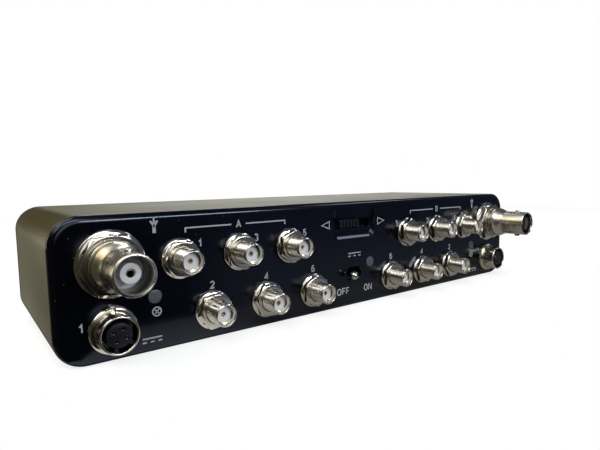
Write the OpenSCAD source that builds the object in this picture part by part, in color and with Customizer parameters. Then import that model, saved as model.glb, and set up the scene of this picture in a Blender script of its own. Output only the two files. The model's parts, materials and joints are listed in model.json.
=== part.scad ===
// Antenna distribution module: a slim metal case with two groups of threaded antenna outputs,
// a bayonet antenna input and a round power socket at each end, a selector slide and a power toggle.
// The front panel faces -Y, the case stands on its bottom face, and +X runs along the panel.

/* [Case] */
// Width of the case along the panel
case_w = 192; // [182:1:240]
// Height of the case
case_h = 37; // [36:0.5:50]
// Depth of the case from the panel's face to the rear face
case_d = 62; // [58:1:110]
// Radius of the four long corners
corner_r = 7.5; // [6.5:0.1:9]
// Wall of the sleeve
sleeve_wall = 1.6; // [1.2:0.1:2.4]
// Depth of the shadow groove where the sleeve meets each panel
groove_d = 0.4; // [0.2:0.05:0.6]
// Width of the shadow groove
groove_w = 0.5; // [0.3:0.05:1]
// Depth of the rails that hold the board in the sleeve
rail_depth = 3; // [2:0.1:3.5]
// Thickness of one rail
rail_t = 1.2; // [0.8:0.1:1.6]

/* [Front panel] */
// Depth of the front panel's edge, in front of the sleeve
panel_d = 2; // [1.8:0.1:2.2]
// Thickness of the front panel's face
panel_t = 3; // [2.4:0.1:3.4]
// Rounding of the front panel's outer edge
edge_r = 1.5; // [0.8:0.1:1.7]

/* [Closing lips and screws] */
// Length of the lips that reach into the sleeve
lip_l = 3; // [2:0.1:4]
// Wall of the lips
lip_t = 1.2; // [0.8:0.1:1.6]
// Thickness of the rear panel
rear_t = 2.5; // [2:0.1:4]
// Distance of the long screws from the outer faces
screw_inset = 5.2; // [5:0.1:5.4]
// Radius of a screw's shank
screw_r = 1.25; // [1:0.05:1.5]
// Radius of a screw's head
screw_head_r = 2.2; // [1.9:0.05:2.6]
// Height of a screw's head
screw_head_h = 1.4; // [1:0.1:1.6]
// Width across the hexagon in a screw's head
screw_key = 1.5; // [1.2:0.1:2]
// Depth of the hexagon in a screw's head
screw_key_d = 0.8; // [0.5:0.1:1]
// Radius of the bosses behind the front panel
boss_r = 2.5; // [2.2:0.1:2.6]
// Length of the bosses
boss_l = 5; // [3:0.1:6]
// Length of screw in a boss
screw_bite = 4; // [2:0.1:4.5]

/* [Threaded antenna outputs] */
// Distance of the outermost output from the side of the case
sma_inset = 31.8; // [29.8:0.1:33]
// Distance between outputs in a row
sma_pitch = 18.2; // [16:0.1:18.8]
// Shift of the lower row towards the middle
sma_stagger = 9; // [7:0.1:9.5]
// Height of the lower row
sma_low_z = 8.4; // [8.2:0.1:9.2]
// Height of the upper row
sma_high_z = 24.1; // [22:0.1:26]
// Outputs in a row
sma_row = 3; // [1:1:3]
// Radius of the thread
sma_thread_r = 3.175; // [3:0.005:3.4]
// Reach of the mouth in front of the panel
sma_reach = 8.3; // [7:0.1:10]
// Chamfer at the mouth
sma_chamfer = 0.3; // [0.1:0.05:0.5]
// Radius of the mouth's bore
sma_mouth_r = 2.6; // [2.5:0.05:2.7]
// Depth of the mouth down to the insulator
sma_mouth_d = 1.9; // [1:0.1:2.5]
// Radius of the insulator
sma_core_r = 2.3; // [1.8:0.05:2.4]
// Radius of the centre contact
sma_contact_r = 0.64; // [0.5:0.02:0.8]
// Radius of the hole in the centre contact
sma_hole_r = 0.42; // [0.3:0.02:0.46]
// Width of the nut across its flats
sma_nut_af = 9.4; // [8:0.1:9.8]
// Thickness of the nut
sma_nut_t = 2; // [1.5:0.1:2.6]
// Radius of the washer
sma_washer_r = 5.5; // [4.8:0.1:5.8]
// Thickness of the washer
sma_washer_t = 0.6; // [0.4:0.1:1]
// Radius of the flange behind the panel
sma_flange_r = 4.6; // [4:0.1:5.2]
// Thickness of the flange behind the panel
sma_flange_t = 1.5; // [1:0.1:2.5]
// Width of the square foot on the board
sma_foot = 7; // [6:0.1:7.6]

/* [Bayonet antenna inputs] */
// Distance of an input from the side of the case
bnc_inset = 13.7; // [13:0.1:14.6]
// Height of an input
bnc_z = 24.8; // [23.8:0.1:25.6]
// Radius of the barrel
bnc_barrel_r = 4.85; // [4.7:0.01:5]
// Reach of the mouth in front of the panel
bnc_reach = 19.3; // [17:0.1:22]
// Step from the barrel down to its plain front end
bnc_nose_step = 0.2; // [0.18:0.01:0.25]
// Length of the plain front end, ahead of the lugs
bnc_nose_l = 2.8; // [1.5:0.1:3]
// Chamfer at the mouth
bnc_chamfer = 0.3; // [0.1:0.05:0.4]
// Radius of the mouth's bore
bnc_bore_r = 4.15; // [4:0.05:4.25]
// Depth of the mouth's bore
bnc_bore_d = 9.8; // [7:0.1:10.5]
// Radius of the two bayonet lugs
bnc_lug_r = 1; // [0.7:0.05:1.2]
// Distance of the lugs from the mouth
bnc_lug_back = 4.3; // [4.2:0.1:5.5]
// Distance of a lug's tip from the axis
bnc_lug_tip = 5.5; // [5.2:0.05:5.8]
// Radius of the mounting thread
bnc_thread_r = 6; // [5.6:0.05:6.35]
// Radius of the shoulder in front of the thread
bnc_shoulder_r = 6.2; // [6:0.05:6.6]
// Where the shoulder starts, in front of the panel
bnc_shoulder_start = 5.6; // [5:0.1:6]
// Where the shoulder's straight part ends
bnc_shoulder_end = 7.4; // [7:0.1:8]
// Length of the taper from shoulder to barrel
bnc_taper = 1.4; // [0.8:0.1:2]
// Width of the nut across its flats
bnc_nut_af = 14.4; // [13.6:0.1:14.8]
// Thickness of the nut
bnc_nut_t = 2.6; // [2:0.1:3.2]
// Radius of the washer
bnc_washer_r = 8.5; // [8:0.1:9]
// Thickness of the washer
bnc_washer_t = 0.8; // [0.5:0.1:1.2]
// Radius of the insulator's foot
bnc_core_r = 3.2; // [2.8:0.1:3.6]
// Radius of the insulator's sleeve
bnc_sleeve_r = 2.35; // [2.2:0.05:2.6]
// Distance of the sleeve's end from the mouth
bnc_sleeve_back = 3.3; // [2:0.1:4]
// Radius of the centre contact
bnc_contact_r = 0.95; // [0.8:0.05:1.2]
// Radius of the hole in the centre contact
bnc_hole_r = 0.65; // [0.5:0.05:0.7]
// Distance of the contact's end behind the sleeve's end
bnc_contact_back = 0.4; // [0.2:0.1:1]
// Radius of the flange behind the panel
bnc_flange_r = 6.8; // [6.5:0.1:7.2]
// Thickness of the flange behind the panel
bnc_flange_t = 1.6; // [1:0.1:2.5]

/* [Power sockets] */
// Distance of a socket from the side of the case
dc_inset = 13.35; // [13:0.05:14.4]
// Height of a socket
dc_z = 8.35; // [8:0.05:8.8]
// Radius of the shell
dc_shell_r = 4.8; // [4.6:0.05:5]
// Reach of the mouth in front of the panel
dc_reach = 6.6; // [5:0.1:8]
// Chamfer at the mouth
dc_chamfer = 0.25; // [0.1:0.05:0.4]
// Radius of the mouth's bore
dc_bore_r = 4.2; // [4.05:0.05:4.3]
// Depth of the mouth's bore
dc_bore_d = 6; // [4:0.1:8]
// Radius of the ring nut
dc_nut_r = 6; // [5.6:0.1:6.4]
// Thickness of the ring nut
dc_nut_t = 1.9; // [1.4:0.1:2.4]
// Chamfer of the ring nut
dc_nut_chamfer = 0.5; // [0.2:0.1:0.8]
// Width of the spanner slots in the ring nut
dc_slot_w = 0.8; // [0.5:0.1:1.4]
// Depth of the spanner slots
dc_slot_d = 0.7; // [0.3:0.1:0.8]
// Radius of the insert's foot
dc_foot_r = 3.6; // [3.4:0.1:3.8]
// Radius of the insert's face
dc_face_r = 3.1; // [2.9:0.05:3.2]
// Distance of the insert's face from the mouth
dc_face_back = 0.3; // [0.1:0.1:1]
// Distance of a contact from the insert's middle
dc_contact_ring = 1.67; // [1.5:0.01:1.8]
// Turn of the four contacts about the middle
dc_contact_turn = 60; // [0:1:90]
// Radius of a contact
dc_contact_r = 0.5; // [0.4:0.02:0.6]
// Radius of the hole in a contact
dc_hole_r = 0.32; // [0.2:0.02:0.36]
// Distance of a contact's end behind the insert's face
dc_contact_back = 0.8; // [0.3:0.1:1.5]
// Width of the two keys on the insert
dc_key_w = 1; // [0.6:0.1:1.6]
// Turn of the first key from straight down, clockwise as seen from the front
dc_key_turn = 10; // [0:1:30]
// Turn from the first key to the second
dc_key_step = 60; // [45:1:120]
// Radius of the flange behind the panel
dc_flange_r = 5.3; // [5:0.1:5.5]
// Thickness of the flange behind the panel
dc_flange_t = 1.5; // [1:0.1:2.5]

/* [Indicator lights] */
// Distance of the end lights from the side of the case
led_inset = 24.45; // [23.8:0.05:25]
// Height of the lights
led_z = 14.8; // [14:0.1:16]
// Place of the power light, to the right of the middle
led_power_x = 7.9; // [7.4:0.1:12]
// Radius of a light's window
led_r = 1.85; // [1.4:0.05:1.95]
// Radius of the light pipe behind the panel
led_pipe_r = 1.5; // [1:0.05:1.7]
// Radius of the light pipe's flange
led_flange_r = 2.4; // [2.2:0.05:2.7]
// Thickness of the light pipe's flange
led_flange_t = 1; // [0.6:0.1:2]
// Width of a light's chip
led_chip_w = 3; // [2:0.1:3.4]
// Height of a light's chip above the board
led_chip_h = 1.4; // [0.8:0.1:2]

/* [Toggle switch] */
// Place of the toggle, to the right of the middle
toggle_x = -0.5; // [-3:0.1:0.4]
// Height of the toggle
toggle_z = 11.5; // [10:0.1:12]
// Length of the opening in the panel
toggle_hole_w = 7.4; // [6.9:0.1:9]
// Height of the opening in the panel
toggle_hole_h = 5.1; // [4.4:0.1:6]
// Depth of the pivot behind the panel's face
toggle_pivot_d = 7.2; // [6.6:0.1:7.6]
// Distance from the pivot to the middle of the lever's ball
toggle_l = 10.5; // [9.5:0.1:12]
// Radius of the lever's ball
toggle_ball_r = 1.5; // [1.3:0.05:1.7]
// Radius of the lever at its hub
toggle_root_r = 1.1; // [0.8:0.05:1.2]
// Radius of the lever below its ball
toggle_neck_r = 0.9; // [0.7:0.05:1]
// Radius of the lever's hub
toggle_hub_r = 1.7; // [1.4:0.05:1.9]
// Length of the lever's hub along its pin
toggle_hub_l = 3.4; // [2.6:0.1:3.5]
// Length of the lever's tail behind the pivot
toggle_tail_l = 2.3; // [2:0.1:2.6]
// Radius of the lever's tail
toggle_tail_r = 0.7; // [0.5:0.05:0.8]
// Radius of the pivot pin
toggle_pin_r = 0.6; // [0.4:0.05:0.8]
// Lean of the lever to each side
toggle_lean = 14; // [8:1:15]
// Width of the switch frame
toggle_frame_w = 9; // [8.4:0.1:9.6]
// Height of the switch frame
toggle_frame_h = 7; // [6:0.1:7.6]
// Width of the hollow in the frame
toggle_hollow_w = 5.6; // [5.4:0.1:6]
// Room beside the hub along its pin
toggle_side_gap = 0.3; // [0.2:0.05:0.4]
// Room behind the lever's tail
toggle_tail_gap = 0.6; // [0.4:0.1:0.8]

/* [Slide switch] */
// Distance of the slide's middle below the top of the case
slide_drop = 7.7; // [7.2:0.1:8]
// Width of the recess around the slide
recess_w = 19.6; // [18.5:0.1:22]
// Height of the recess
recess_h = 12.1; // [11:0.1:12.6]
// Distance of the recess below the top of the case
recess_drop = 0.8; // [0.6:0.1:1.2]
// Corner radius of the recess
recess_r = 2.5; // [1.5:0.1:4]
// Depth of the recess
recess_d = 1; // [0.6:0.1:1.4]
// Length of the slot in the recess
slot_w = 16.4; // [15:0.1:17.5]
// Height of the slot in the recess
slot_h = 3.2; // [3.1:0.1:4]
// Length of the knob
knob_w = 8.8; // [7:0.1:9]
// Travel of the knob between its two places
knob_travel = 4.8; // [3:0.1:5]
// Reach of the knob in front of the recess
knob_reach = 1.3; // [0.8:0.1:2]
// Gap between the knob and the slot above and below it
knob_gap = 0.2; // [0.1:0.05:0.3]
// Number of grooves on the knob
knob_grooves = 5; // [3:1:6]
// Width and depth of a groove
knob_groove = 0.6; // [0.3:0.05:0.7]
// Length of the knob's stem
stem_w = 4; // [3:0.1:4.4]
// Height of the knob's stem
stem_h = 2; // [1.4:0.1:2.4]
// Reach of the stem into the switch body
stem_l = 3; // [2:0.1:4]
// Gap around the stem
stem_gap = 0.3; // [0.2:0.05:0.4]
// Width of the switch body
slide_body_w = 20; // [17:0.1:22]
// Height of the switch body
slide_body_h = 8; // [6:0.1:9]

/* [Circuit boards] */
// Depth of the front board's face behind the panel's face
board_d = 12; // [11.6:0.1:13]
// Thickness of the boards
board_t = 1.6; // [1:0.1:2]
// Distance of the front board from the sides of the case
board_side = 10; // [9.8:0.1:10.3]
// Distance of the front board from the top and bottom of the case
board_edge = 3; // [2.6:0.1:3.3]
// Length of the contact tails behind the front board
tail_l = 1; // [0.6:0.1:1.6]
// Height of the main board's lower face
main_z = 11; // [10.8:0.1:12]
// Distance of the main board from the rear face of the case
main_back = 7; // [6:0.1:9]
// Pitch of the switch terminals
pin_pitch = 2.5; // [2:0.05:2.54]
// Width of the square pins
pin_w = 0.64; // [0.5:0.02:0.7]
// Number of pins in the board connector
link_pins = 12; // [4:1:14]
// Height of the board connector's two halves
link_h = 5; // [4:0.1:8]
// Depth of the socket half
link_socket_d = 6; // [4:0.1:8]
// Depth of the plug half
link_plug_d = 2.5; // [2:0.1:4]
// Reach of the plug's pins into the socket
link_pin_l = 5; // [3:0.1:5.5]

/* [Shield cans] */
// Distance of a can's middle from the middle of the case
can_x = 52; // [48:0.5:56]
// Distance of the cans behind the main board's front edge
can_back = 6; // [4:0.1:8]
// Length of a can along the panel
can_w = 60; // [50:0.5:62]
// Depth of a can
can_d = 28; // [24:0.5:29]
// Height of a can's frame
can_h = 7; // [4:0.1:12]
// Sheet thickness of the cans
can_t = 0.5; // [0.3:0.05:0.8]
// Height of the lid's skirt
can_skirt = 3; // [2:0.1:3.5]

/* [Board parts] */
// Splitter chips in a can
splitters = 3; // [1:1:3]
// Distance between splitter chips
splitter_pitch = 18; // [12:0.5:19]
// Width of a splitter chip
splitter_w = 6; // [4:0.1:9]
// Height of a splitter chip
splitter_h = 1.6; // [1:0.1:2.5]
// Width of an amplifier chip
amplifier_w = 4; // [3:0.1:5]
// Height of an amplifier chip
amplifier_h = 1; // [0.6:0.1:2]
// Distance of the amplifier chips in front of the splitter chips
amplifier_ahead = 8; // [7.5:0.1:9]
// Width of the voltage regulator
regulator_w = 10; // [8:0.1:11]
// Depth of the voltage regulator
regulator_d = 9; // [8:0.1:10]
// Height of the voltage regulator
regulator_h = 4.5; // [3:0.1:5]
// Radius of a power coil
coil_r = 4.5; // [3:0.1:4.8]
// Height of a power coil
coil_h = 5; // [3:0.1:7]
// Radius of a capacitor
capacitor_r = 3.2; // [2:0.1:3.3]
// Height of a capacitor
capacitor_h = 8; // [5:0.1:11]
// Distance of the coils and capacitors from the middle
power_x = 12; // [11:0.1:13]
// Width of a fuse
fuse_w = 7; // [4:0.1:8]
// Depth of a fuse
fuse_d = 3; // [2:0.1:4]
// Height of a fuse
fuse_h = 2.6; // [1.5:0.1:4]

/* [Clearances] */
// Gap between a lip and the sleeve
lip_gap = 0.1; // [0.05:0.01:0.15]
// Gap around threads, inserts and pressed pins
fit_gap = 0.03; // [0.02:0.005:0.05]
// Gap around pins in board holes and screws in their holes
pass_gap = 0.15; // [0.1:0.01:0.25]
// Running gap around the toggle's pivot pin
run_gap = 0.05; // [0.02:0.01:0.08]
// Gap between the main board and its rails
rail_gap = 0.1; // [0.05:0.01:0.2]
// Gap between the rails and the bosses or lips at both ends
rail_end_gap = 1; // [0.5:0.1:2]
// Gap between neighbouring parts on the main board
part_gap = 0.3; // [0.1:0.05:0.5]

/* [Hidden] */
$fn = 64;

// The two ends of the panel
end_a = -1;
end_b = 1;
ends = [end_a, end_b];
// Extra length of a cutting tool past the face that it cuts
over = 1;
// Colours as the photo shows them, and usual ones inside
bronze = [0.36, 0.34, 0.27];
gloss_black = [0.03, 0.035, 0.05];
nickel = [0.75, 0.74, 0.70];
gold = [0.72, 0.52, 0.22];
white_insulator = [0.86, 0.88, 0.92];
black_plastic = [0.06, 0.06, 0.07];
smoke_window = [0.22, 0.23, 0.26];
board_green = [0.07, 0.26, 0.15];
tin = [0.66, 0.67, 0.68];

// Places on the panel, as distances along it and heights
front_y = -case_d / 2;
rear_y = case_d / 2;
bnc_x = case_w / 2 - bnc_inset;
dc_x = case_w / 2 - dc_inset;
led_x = case_w / 2 - led_inset;
screw_x = case_w / 2 - screw_inset;
screw_heights = [screw_inset, case_h - screw_inset];
slide_z = case_h - slide_drop;
recess_z = case_h - recess_drop - recess_h / 2;
function sma_ports(end) = [
    for (row = [0, 1])
        for (i = [0:sma_row - 1])
            [end * (case_w / 2 - sma_inset - row * sma_stagger - i * sma_pitch),
             row == 0 ? sma_high_z : sma_low_z]
];

// Sizes that follow from the ones above
sleeve_front_y = front_y + panel_d;
sleeve_rear_y = rear_y - rear_t;
lip_in = sleeve_wall + lip_gap;
sleeve_half = case_w / 2 - sleeve_wall;
sma_seat = sma_washer_t + sma_nut_t;
bnc_seat = bnc_washer_t + bnc_nut_t;
bnc_bore_floor = bnc_reach - bnc_bore_d;
bnc_sleeve_end = bnc_reach - bnc_sleeve_back;
bnc_lug_w = bnc_reach - bnc_lug_back;
dc_bore_floor = dc_reach - dc_bore_d;
dc_face = dc_reach - dc_face_back;
board_back = -board_d - board_t;
board_half = case_w / 2 - board_side;
slot_floor = -recess_d;
knob_h = slot_h - 2 * knob_gap;
knob_front = slot_floor + knob_reach;
knob_root = -panel_t + knob_gap;
hollow_floor = -toggle_pivot_d - toggle_tail_l - toggle_tail_gap;
main_top = main_z + board_t;
main_front_y = front_y - board_back + tail_l + pass_gap;
main_rear_y = rear_y - main_back;
link_w = (link_pins + 1) * pin_pitch;
can_front_y = main_front_y + can_back;
can_y = can_front_y + can_d / 2;
link_rear_y = front_y - board_back + link_socket_d + link_plug_d;
power_front_y = link_rear_y + part_gap + fuse_d + part_gap + coil_r;
// Slope of a nut's chamfer, which leaves 30 degrees to its face
nut_slope = 1.73;
// How far inside the flats a nut's chamfer starts
nut_chamfer_in = 0.1;
// Turn of each output's nut relative to the one before it
sma_nut_turn = 43;
// Turn of the inputs' nuts
bnc_nut_turn = 10;
// Step that sets the free thread apart from the thread under the nut
thread_step = 0.2;
// Share of a board pin's half-width that its round hole needs
pin_diagonal = 1.4142;

// Stands a shape on the panel: x along it, y up from the case's bottom, z out of its face
module on_panel() {
    translate([0, front_y, 0]) rotate([90, 0, 0]) children();
}

// Stands a shape on the panel at a distance along it and a height
module at_port(x, z) {
    on_panel() translate([x, z, 0]) children();
}

// Rectangle with round corners about the origin
module round_rect(w, h, r) {
    difference() {
        square([w, h], center = true);
        for (sx = [-1, 1])
            for (sy = [-1, 1])
                translate([sx * (w / 2 - r), sy * (h / 2 - r)])
                    scale([sx, sy]) difference() {
                        square(r + over);
                        circle(r);
                    }
    }
}

// Outline of the case, drawn in from its outer faces
module outline(inset) {
    translate([0, case_h / 2])
        round_rect(case_w - 2 * inset, case_h - 2 * inset, corner_r - inset);
}

// Frame-shaped wall between two insets of the case's outline
module wall_outline(outer, inner) {
    difference() {
        outline(outer);
        outline(inner);
    }
}

// Round bar along z from one height to another
module bar(r, z0, z1) {
    translate([0, 0, z0]) cylinder(r = r, h = z1 - z0);
}

// Tapered round bar
module taper(r0, r1, z0, z1) {
    translate([0, 0, z0]) cylinder(r1 = r0, r2 = r1, h = z1 - z0);
}

// Block with its middle on the axis, from one height to another
module block(w, h, z0, z1) {
    translate([-w / 2, -h / 2, z0]) cube([w, h, z1 - z0]);
}

// Hexagon nut with a chamfered front, standing on z0
module hex_nut(af, t, bore_r, z0) {
    top_r = af / 2 - nut_chamfer_in;
    difference() {
        intersection() {
            translate([0, 0, z0]) cylinder(r = af / 2 / cos(30), h = t, $fn = 6);
            taper(top_r + t * nut_slope, top_r, z0, z0 + t);
        }
        bar(bore_r, z0 - over, z0 + t + over);
    }
}

// Flat washer on the panel
module washer(r, t, bore_r) {
    difference() {
        bar(r, 0, t);
        bar(bore_r, -over, t + over);
    }
}

// Section of the panel's edge: straight side with a rounded front
module edge_section() {
    difference() {
        translate([0, -panel_d]) square([corner_r, panel_d]);
        translate([corner_r - edge_r, -edge_r]) difference() {
            square(edge_r + over);
            circle(edge_r);
        }
    }
}

// Panel blank with round corners and a rounded front edge, made of its middle, sides and corners
module panel_blank() {
    in_w = case_w / 2 - corner_r;
    in_h = case_h - 2 * corner_r;
    translate([-in_w, corner_r, -panel_d]) cube([2 * in_w, in_h, panel_d]);
    for (s = [-1, 1]) {
        scale([s, 1, 1]) translate([in_w, case_h - corner_r, 0]) rotate([90, 0, 0])
            linear_extrude(in_h) edge_section();
        translate([0, case_h / 2, 0]) scale([1, s, 1]) translate([-in_w, in_h / 2, 0]) rotate([90, 0, 90])
            linear_extrude(2 * in_w) edge_section();
    }
    for (turn = [0:3])
        translate([turn == 0 || turn == 3 ? in_w : -in_w, turn < 2 ? case_h - corner_r : corner_r, 0])
            rotate([0, 0, 90 * turn]) rotate_extrude(angle = 90) edge_section();
}

// Hole for a jack in the panel's face, with room for its flange in the lip behind
module jack_hole(r, flange_r) {
    bar(r + fit_gap, -panel_t - over, over);
    bar(flange_r + lip_gap, -panel_d - lip_l - over, -panel_t);
}

// Front panel: glossy face with its edge, lip, screw bosses and openings
module front_panel() {
    color(gloss_black) on_panel() difference() {
        union() {
            panel_blank();
            translate([0, 0, -panel_t]) linear_extrude(panel_t - panel_d / 2) outline(lip_in);
            translate([0, 0, -panel_d - lip_l])
                linear_extrude(panel_d + lip_l - panel_t) wall_outline(lip_in, lip_in + lip_t);
            for (s = ends)
                for (z = screw_heights)
                    translate([s * screw_x, z, 0]) bar(boss_r, -panel_t - boss_l, -panel_t);
        }
        for (s = ends) {
            for (z = screw_heights)
                translate([s * screw_x, z, 0])
                    bar(screw_r + fit_gap, -panel_t - boss_l - over, -panel_t);
            for (p = sma_ports(s))
                translate([p[0], p[1], 0]) jack_hole(sma_thread_r, sma_flange_r);
            translate([s * bnc_x, bnc_z, 0]) jack_hole(bnc_thread_r, bnc_flange_r);
            translate([s * dc_x, dc_z, 0]) jack_hole(dc_shell_r, dc_flange_r);
        }
        for (x = [-led_x, led_power_x, led_x])
            translate([x, led_z, 0]) bar(led_r + fit_gap, -panel_t - over, over);
        translate([toggle_x, toggle_z, -panel_t - over])
            linear_extrude(panel_t + 2 * over)
                round_rect(toggle_hole_w, toggle_hole_h, toggle_hole_h / 2 - fit_gap);
        translate([0, recess_z, -recess_d])
            linear_extrude(recess_d + over) round_rect(recess_w, recess_h, recess_r);
        translate([0, slide_z, 0]) block(slot_w, slot_h, -panel_t - over, over);
    }
}

// Sleeve of the case, with the rails that hold the main board
module case_sleeve() {
    rail_front_y = front_y + max(panel_d + lip_l, panel_t + boss_l) + rail_end_gap;
    rail_l = sleeve_rear_y - lip_l - rail_end_gap - rail_front_y;
    color(bronze) {
        translate([0, sleeve_rear_y, 0]) rotate([90, 0, 0])
            linear_extrude(sleeve_rear_y - sleeve_front_y) wall_outline(groove_d, sleeve_wall);
        translate([0, sleeve_rear_y - groove_w, 0]) rotate([90, 0, 0])
            linear_extrude(sleeve_rear_y - sleeve_front_y - 2 * groove_w) wall_outline(0, sleeve_wall);
        for (s = ends)
            for (z = [main_z - rail_gap - rail_t, main_top + rail_gap])
                scale([s, 1, 1]) translate([sleeve_half - rail_depth, rail_front_y, z])
                    cube([rail_depth + sleeve_wall / 2, rail_l, rail_t]);
    }
}

// Rear panel with its lip and counterbored screw holes
module rear_panel() {
    color(gloss_black) translate([0, rear_y, 0]) rotate([90, 0, 0]) difference() {
        union() {
            linear_extrude(rear_t) outline(0);
            linear_extrude(rear_t + lip_l) wall_outline(lip_in, lip_in + lip_t);
        }
        for (s = ends)
            for (z = screw_heights)
                translate([s * screw_x, z, 0]) {
                    bar(screw_r + pass_gap, -over, rear_t + over);
                    bar(screw_head_r + pass_gap, -over, screw_head_h);
                }
    }
}

// Long screws from the rear panel into the front panel's bosses
module tie_screws() {
    tip = case_d - panel_t - boss_l + screw_bite;
    color(tin) translate([0, rear_y, 0]) rotate([90, 0, 0])
        for (s = ends)
            for (z = screw_heights)
                translate([s * screw_x, z, 0]) difference() {
                    union() {
                        bar(screw_head_r, 0, screw_head_h);
                        bar(screw_r, 0, tip);
                    }
                    translate([0, 0, -over])
                        cylinder(r = screw_key / 2 / cos(30), h = screw_key_d + over, $fn = 6);
                }
}

// Shell of one threaded output, from its mouth to its foot on the board
module sma_shell() {
    flange_end = -panel_t - sma_flange_t;
    difference() {
        union() {
            taper(sma_thread_r, sma_thread_r - sma_chamfer, sma_reach - sma_chamfer, sma_reach);
            bar(sma_thread_r, sma_seat, sma_reach - sma_chamfer);
            bar(sma_thread_r - thread_step, -panel_t, sma_seat);
            bar(sma_flange_r, flange_end, -panel_t);
            block(sma_foot, sma_foot, -board_d, flange_end);
        }
        bar(sma_mouth_r, sma_reach - sma_mouth_d, sma_reach + over);
        bar(sma_core_r, -board_d - over, sma_reach);
    }
}

module sma_shells(end) {
    color(nickel) for (p = sma_ports(end)) at_port(p[0], p[1]) sma_shell();
}

module sma_nuts(end) {
    ports = sma_ports(end);
    color(nickel) for (i = [0:len(ports) - 1])
        at_port(ports[i][0], ports[i][1]) rotate([0, 0, i * sma_nut_turn])
            hex_nut(sma_nut_af, sma_nut_t, sma_thread_r + fit_gap, sma_washer_t);
}

module sma_washers(end) {
    color(nickel) for (p = sma_ports(end))
        at_port(p[0], p[1]) washer(sma_washer_r, sma_washer_t, sma_thread_r + fit_gap);
}

module sma_insulators(end) {
    color(white_insulator) for (p = sma_ports(end)) at_port(p[0], p[1]) difference() {
        bar(sma_core_r - fit_gap, -board_d, sma_reach - sma_mouth_d);
        bar(sma_contact_r + fit_gap, -board_d - over, sma_reach);
    }
}

module sma_contacts(end) {
    front = sma_reach - sma_mouth_d;
    color(gold) for (p = sma_ports(end)) at_port(p[0], p[1]) difference() {
        bar(sma_contact_r, board_back - tail_l, front);
        bar(sma_hole_r, 0, front + over);
    }
}

// Shell of a bayonet input, with its thread, shoulder, barrel and lugs
module bnc_shell(end) {
    nose = bnc_reach - bnc_nose_l;
    nose_r = bnc_barrel_r - bnc_nose_step;
    wall_mid = (bnc_bore_r + bnc_barrel_r) / 2;
    taper_end = bnc_shoulder_end + bnc_taper;
    color(nickel) at_port(end * bnc_x, bnc_z) difference() {
        union() {
            taper(nose_r, nose_r - bnc_chamfer, bnc_reach - bnc_chamfer, bnc_reach);
            bar(nose_r, nose, bnc_reach - bnc_chamfer);
            bar(bnc_barrel_r, taper_end, nose);
            for (s = ends)
                translate([0, 0, bnc_lug_w]) rotate([s * 90, 0, 0]) bar(bnc_lug_r, wall_mid, bnc_lug_tip);
            taper(bnc_shoulder_r, bnc_barrel_r, bnc_shoulder_end, taper_end);
            bar(bnc_shoulder_r, bnc_shoulder_start, bnc_shoulder_end);
            bar(bnc_thread_r, -panel_t, bnc_shoulder_start);
            bar(bnc_flange_r, -panel_t - bnc_flange_t, -panel_t);
            bar(bnc_thread_r, -board_d, -panel_t - bnc_flange_t);
        }
        bar(bnc_bore_r, bnc_bore_floor, bnc_reach + over);
        bar(bnc_core_r, -board_d - over, bnc_reach);
    }
}

module bnc_nut(end) {
    color(nickel) at_port(end * bnc_x, bnc_z) rotate([0, 0, bnc_nut_turn])
        hex_nut(bnc_nut_af, bnc_nut_t, bnc_thread_r + fit_gap, bnc_washer_t);
}

module bnc_washer(end) {
    color(nickel) at_port(end * bnc_x, bnc_z)
        washer(bnc_washer_r, bnc_washer_t, bnc_thread_r + fit_gap);
}

module bnc_insulator(end) {
    color(white_insulator) at_port(end * bnc_x, bnc_z) difference() {
        union() {
            bar(bnc_core_r - fit_gap, -board_d, bnc_bore_floor);
            bar(bnc_sleeve_r, bnc_bore_floor, bnc_sleeve_end);
        }
        bar(bnc_contact_r + fit_gap, -board_d - over, bnc_reach);
    }
}

module bnc_contact(end) {
    front = bnc_sleeve_end - bnc_contact_back;
    color(gold) at_port(end * bnc_x, bnc_z) difference() {
        bar(bnc_contact_r, board_back - tail_l, front);
        bar(bnc_hole_r, bnc_bore_floor, front + over);
    }
}

// Shell of a power socket
module dc_shell(end) {
    flange_end = -panel_t - dc_flange_t;
    color(nickel) at_port(end * dc_x, dc_z) difference() {
        union() {
            taper(dc_shell_r, dc_shell_r - dc_chamfer, dc_reach - dc_chamfer, dc_reach);
            bar(dc_shell_r, -panel_t, dc_reach - dc_chamfer);
            bar(dc_flange_r, flange_end, -panel_t);
            bar(dc_shell_r, -board_d, flange_end);
        }
        bar(dc_bore_r, dc_bore_floor, dc_reach + over);
        bar(dc_foot_r, -board_d - over, dc_reach);
    }
}

// Ring nut of a power socket with its two spanner slots
module dc_nut(end) {
    color(nickel) at_port(end * dc_x, dc_z) difference() {
        union() {
            bar(dc_nut_r, 0, dc_nut_t - dc_nut_chamfer);
            taper(dc_nut_r, dc_nut_r - dc_nut_chamfer, dc_nut_t - dc_nut_chamfer, dc_nut_t);
        }
        bar(dc_shell_r + fit_gap, -over, dc_nut_t + over);
        for (s = ends)
            translate([0, s * dc_nut_r, 0])
                block(dc_slot_w, dc_nut_r, dc_nut_t - dc_slot_d, dc_nut_t + over);
    }
}

// Places a shape at each of a power socket's four contacts
module at_contacts() {
    for (i = [0:3])
        rotate([0, 0, dc_contact_turn + 90 * i]) translate([dc_contact_ring, 0, 0]) children();
}

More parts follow.
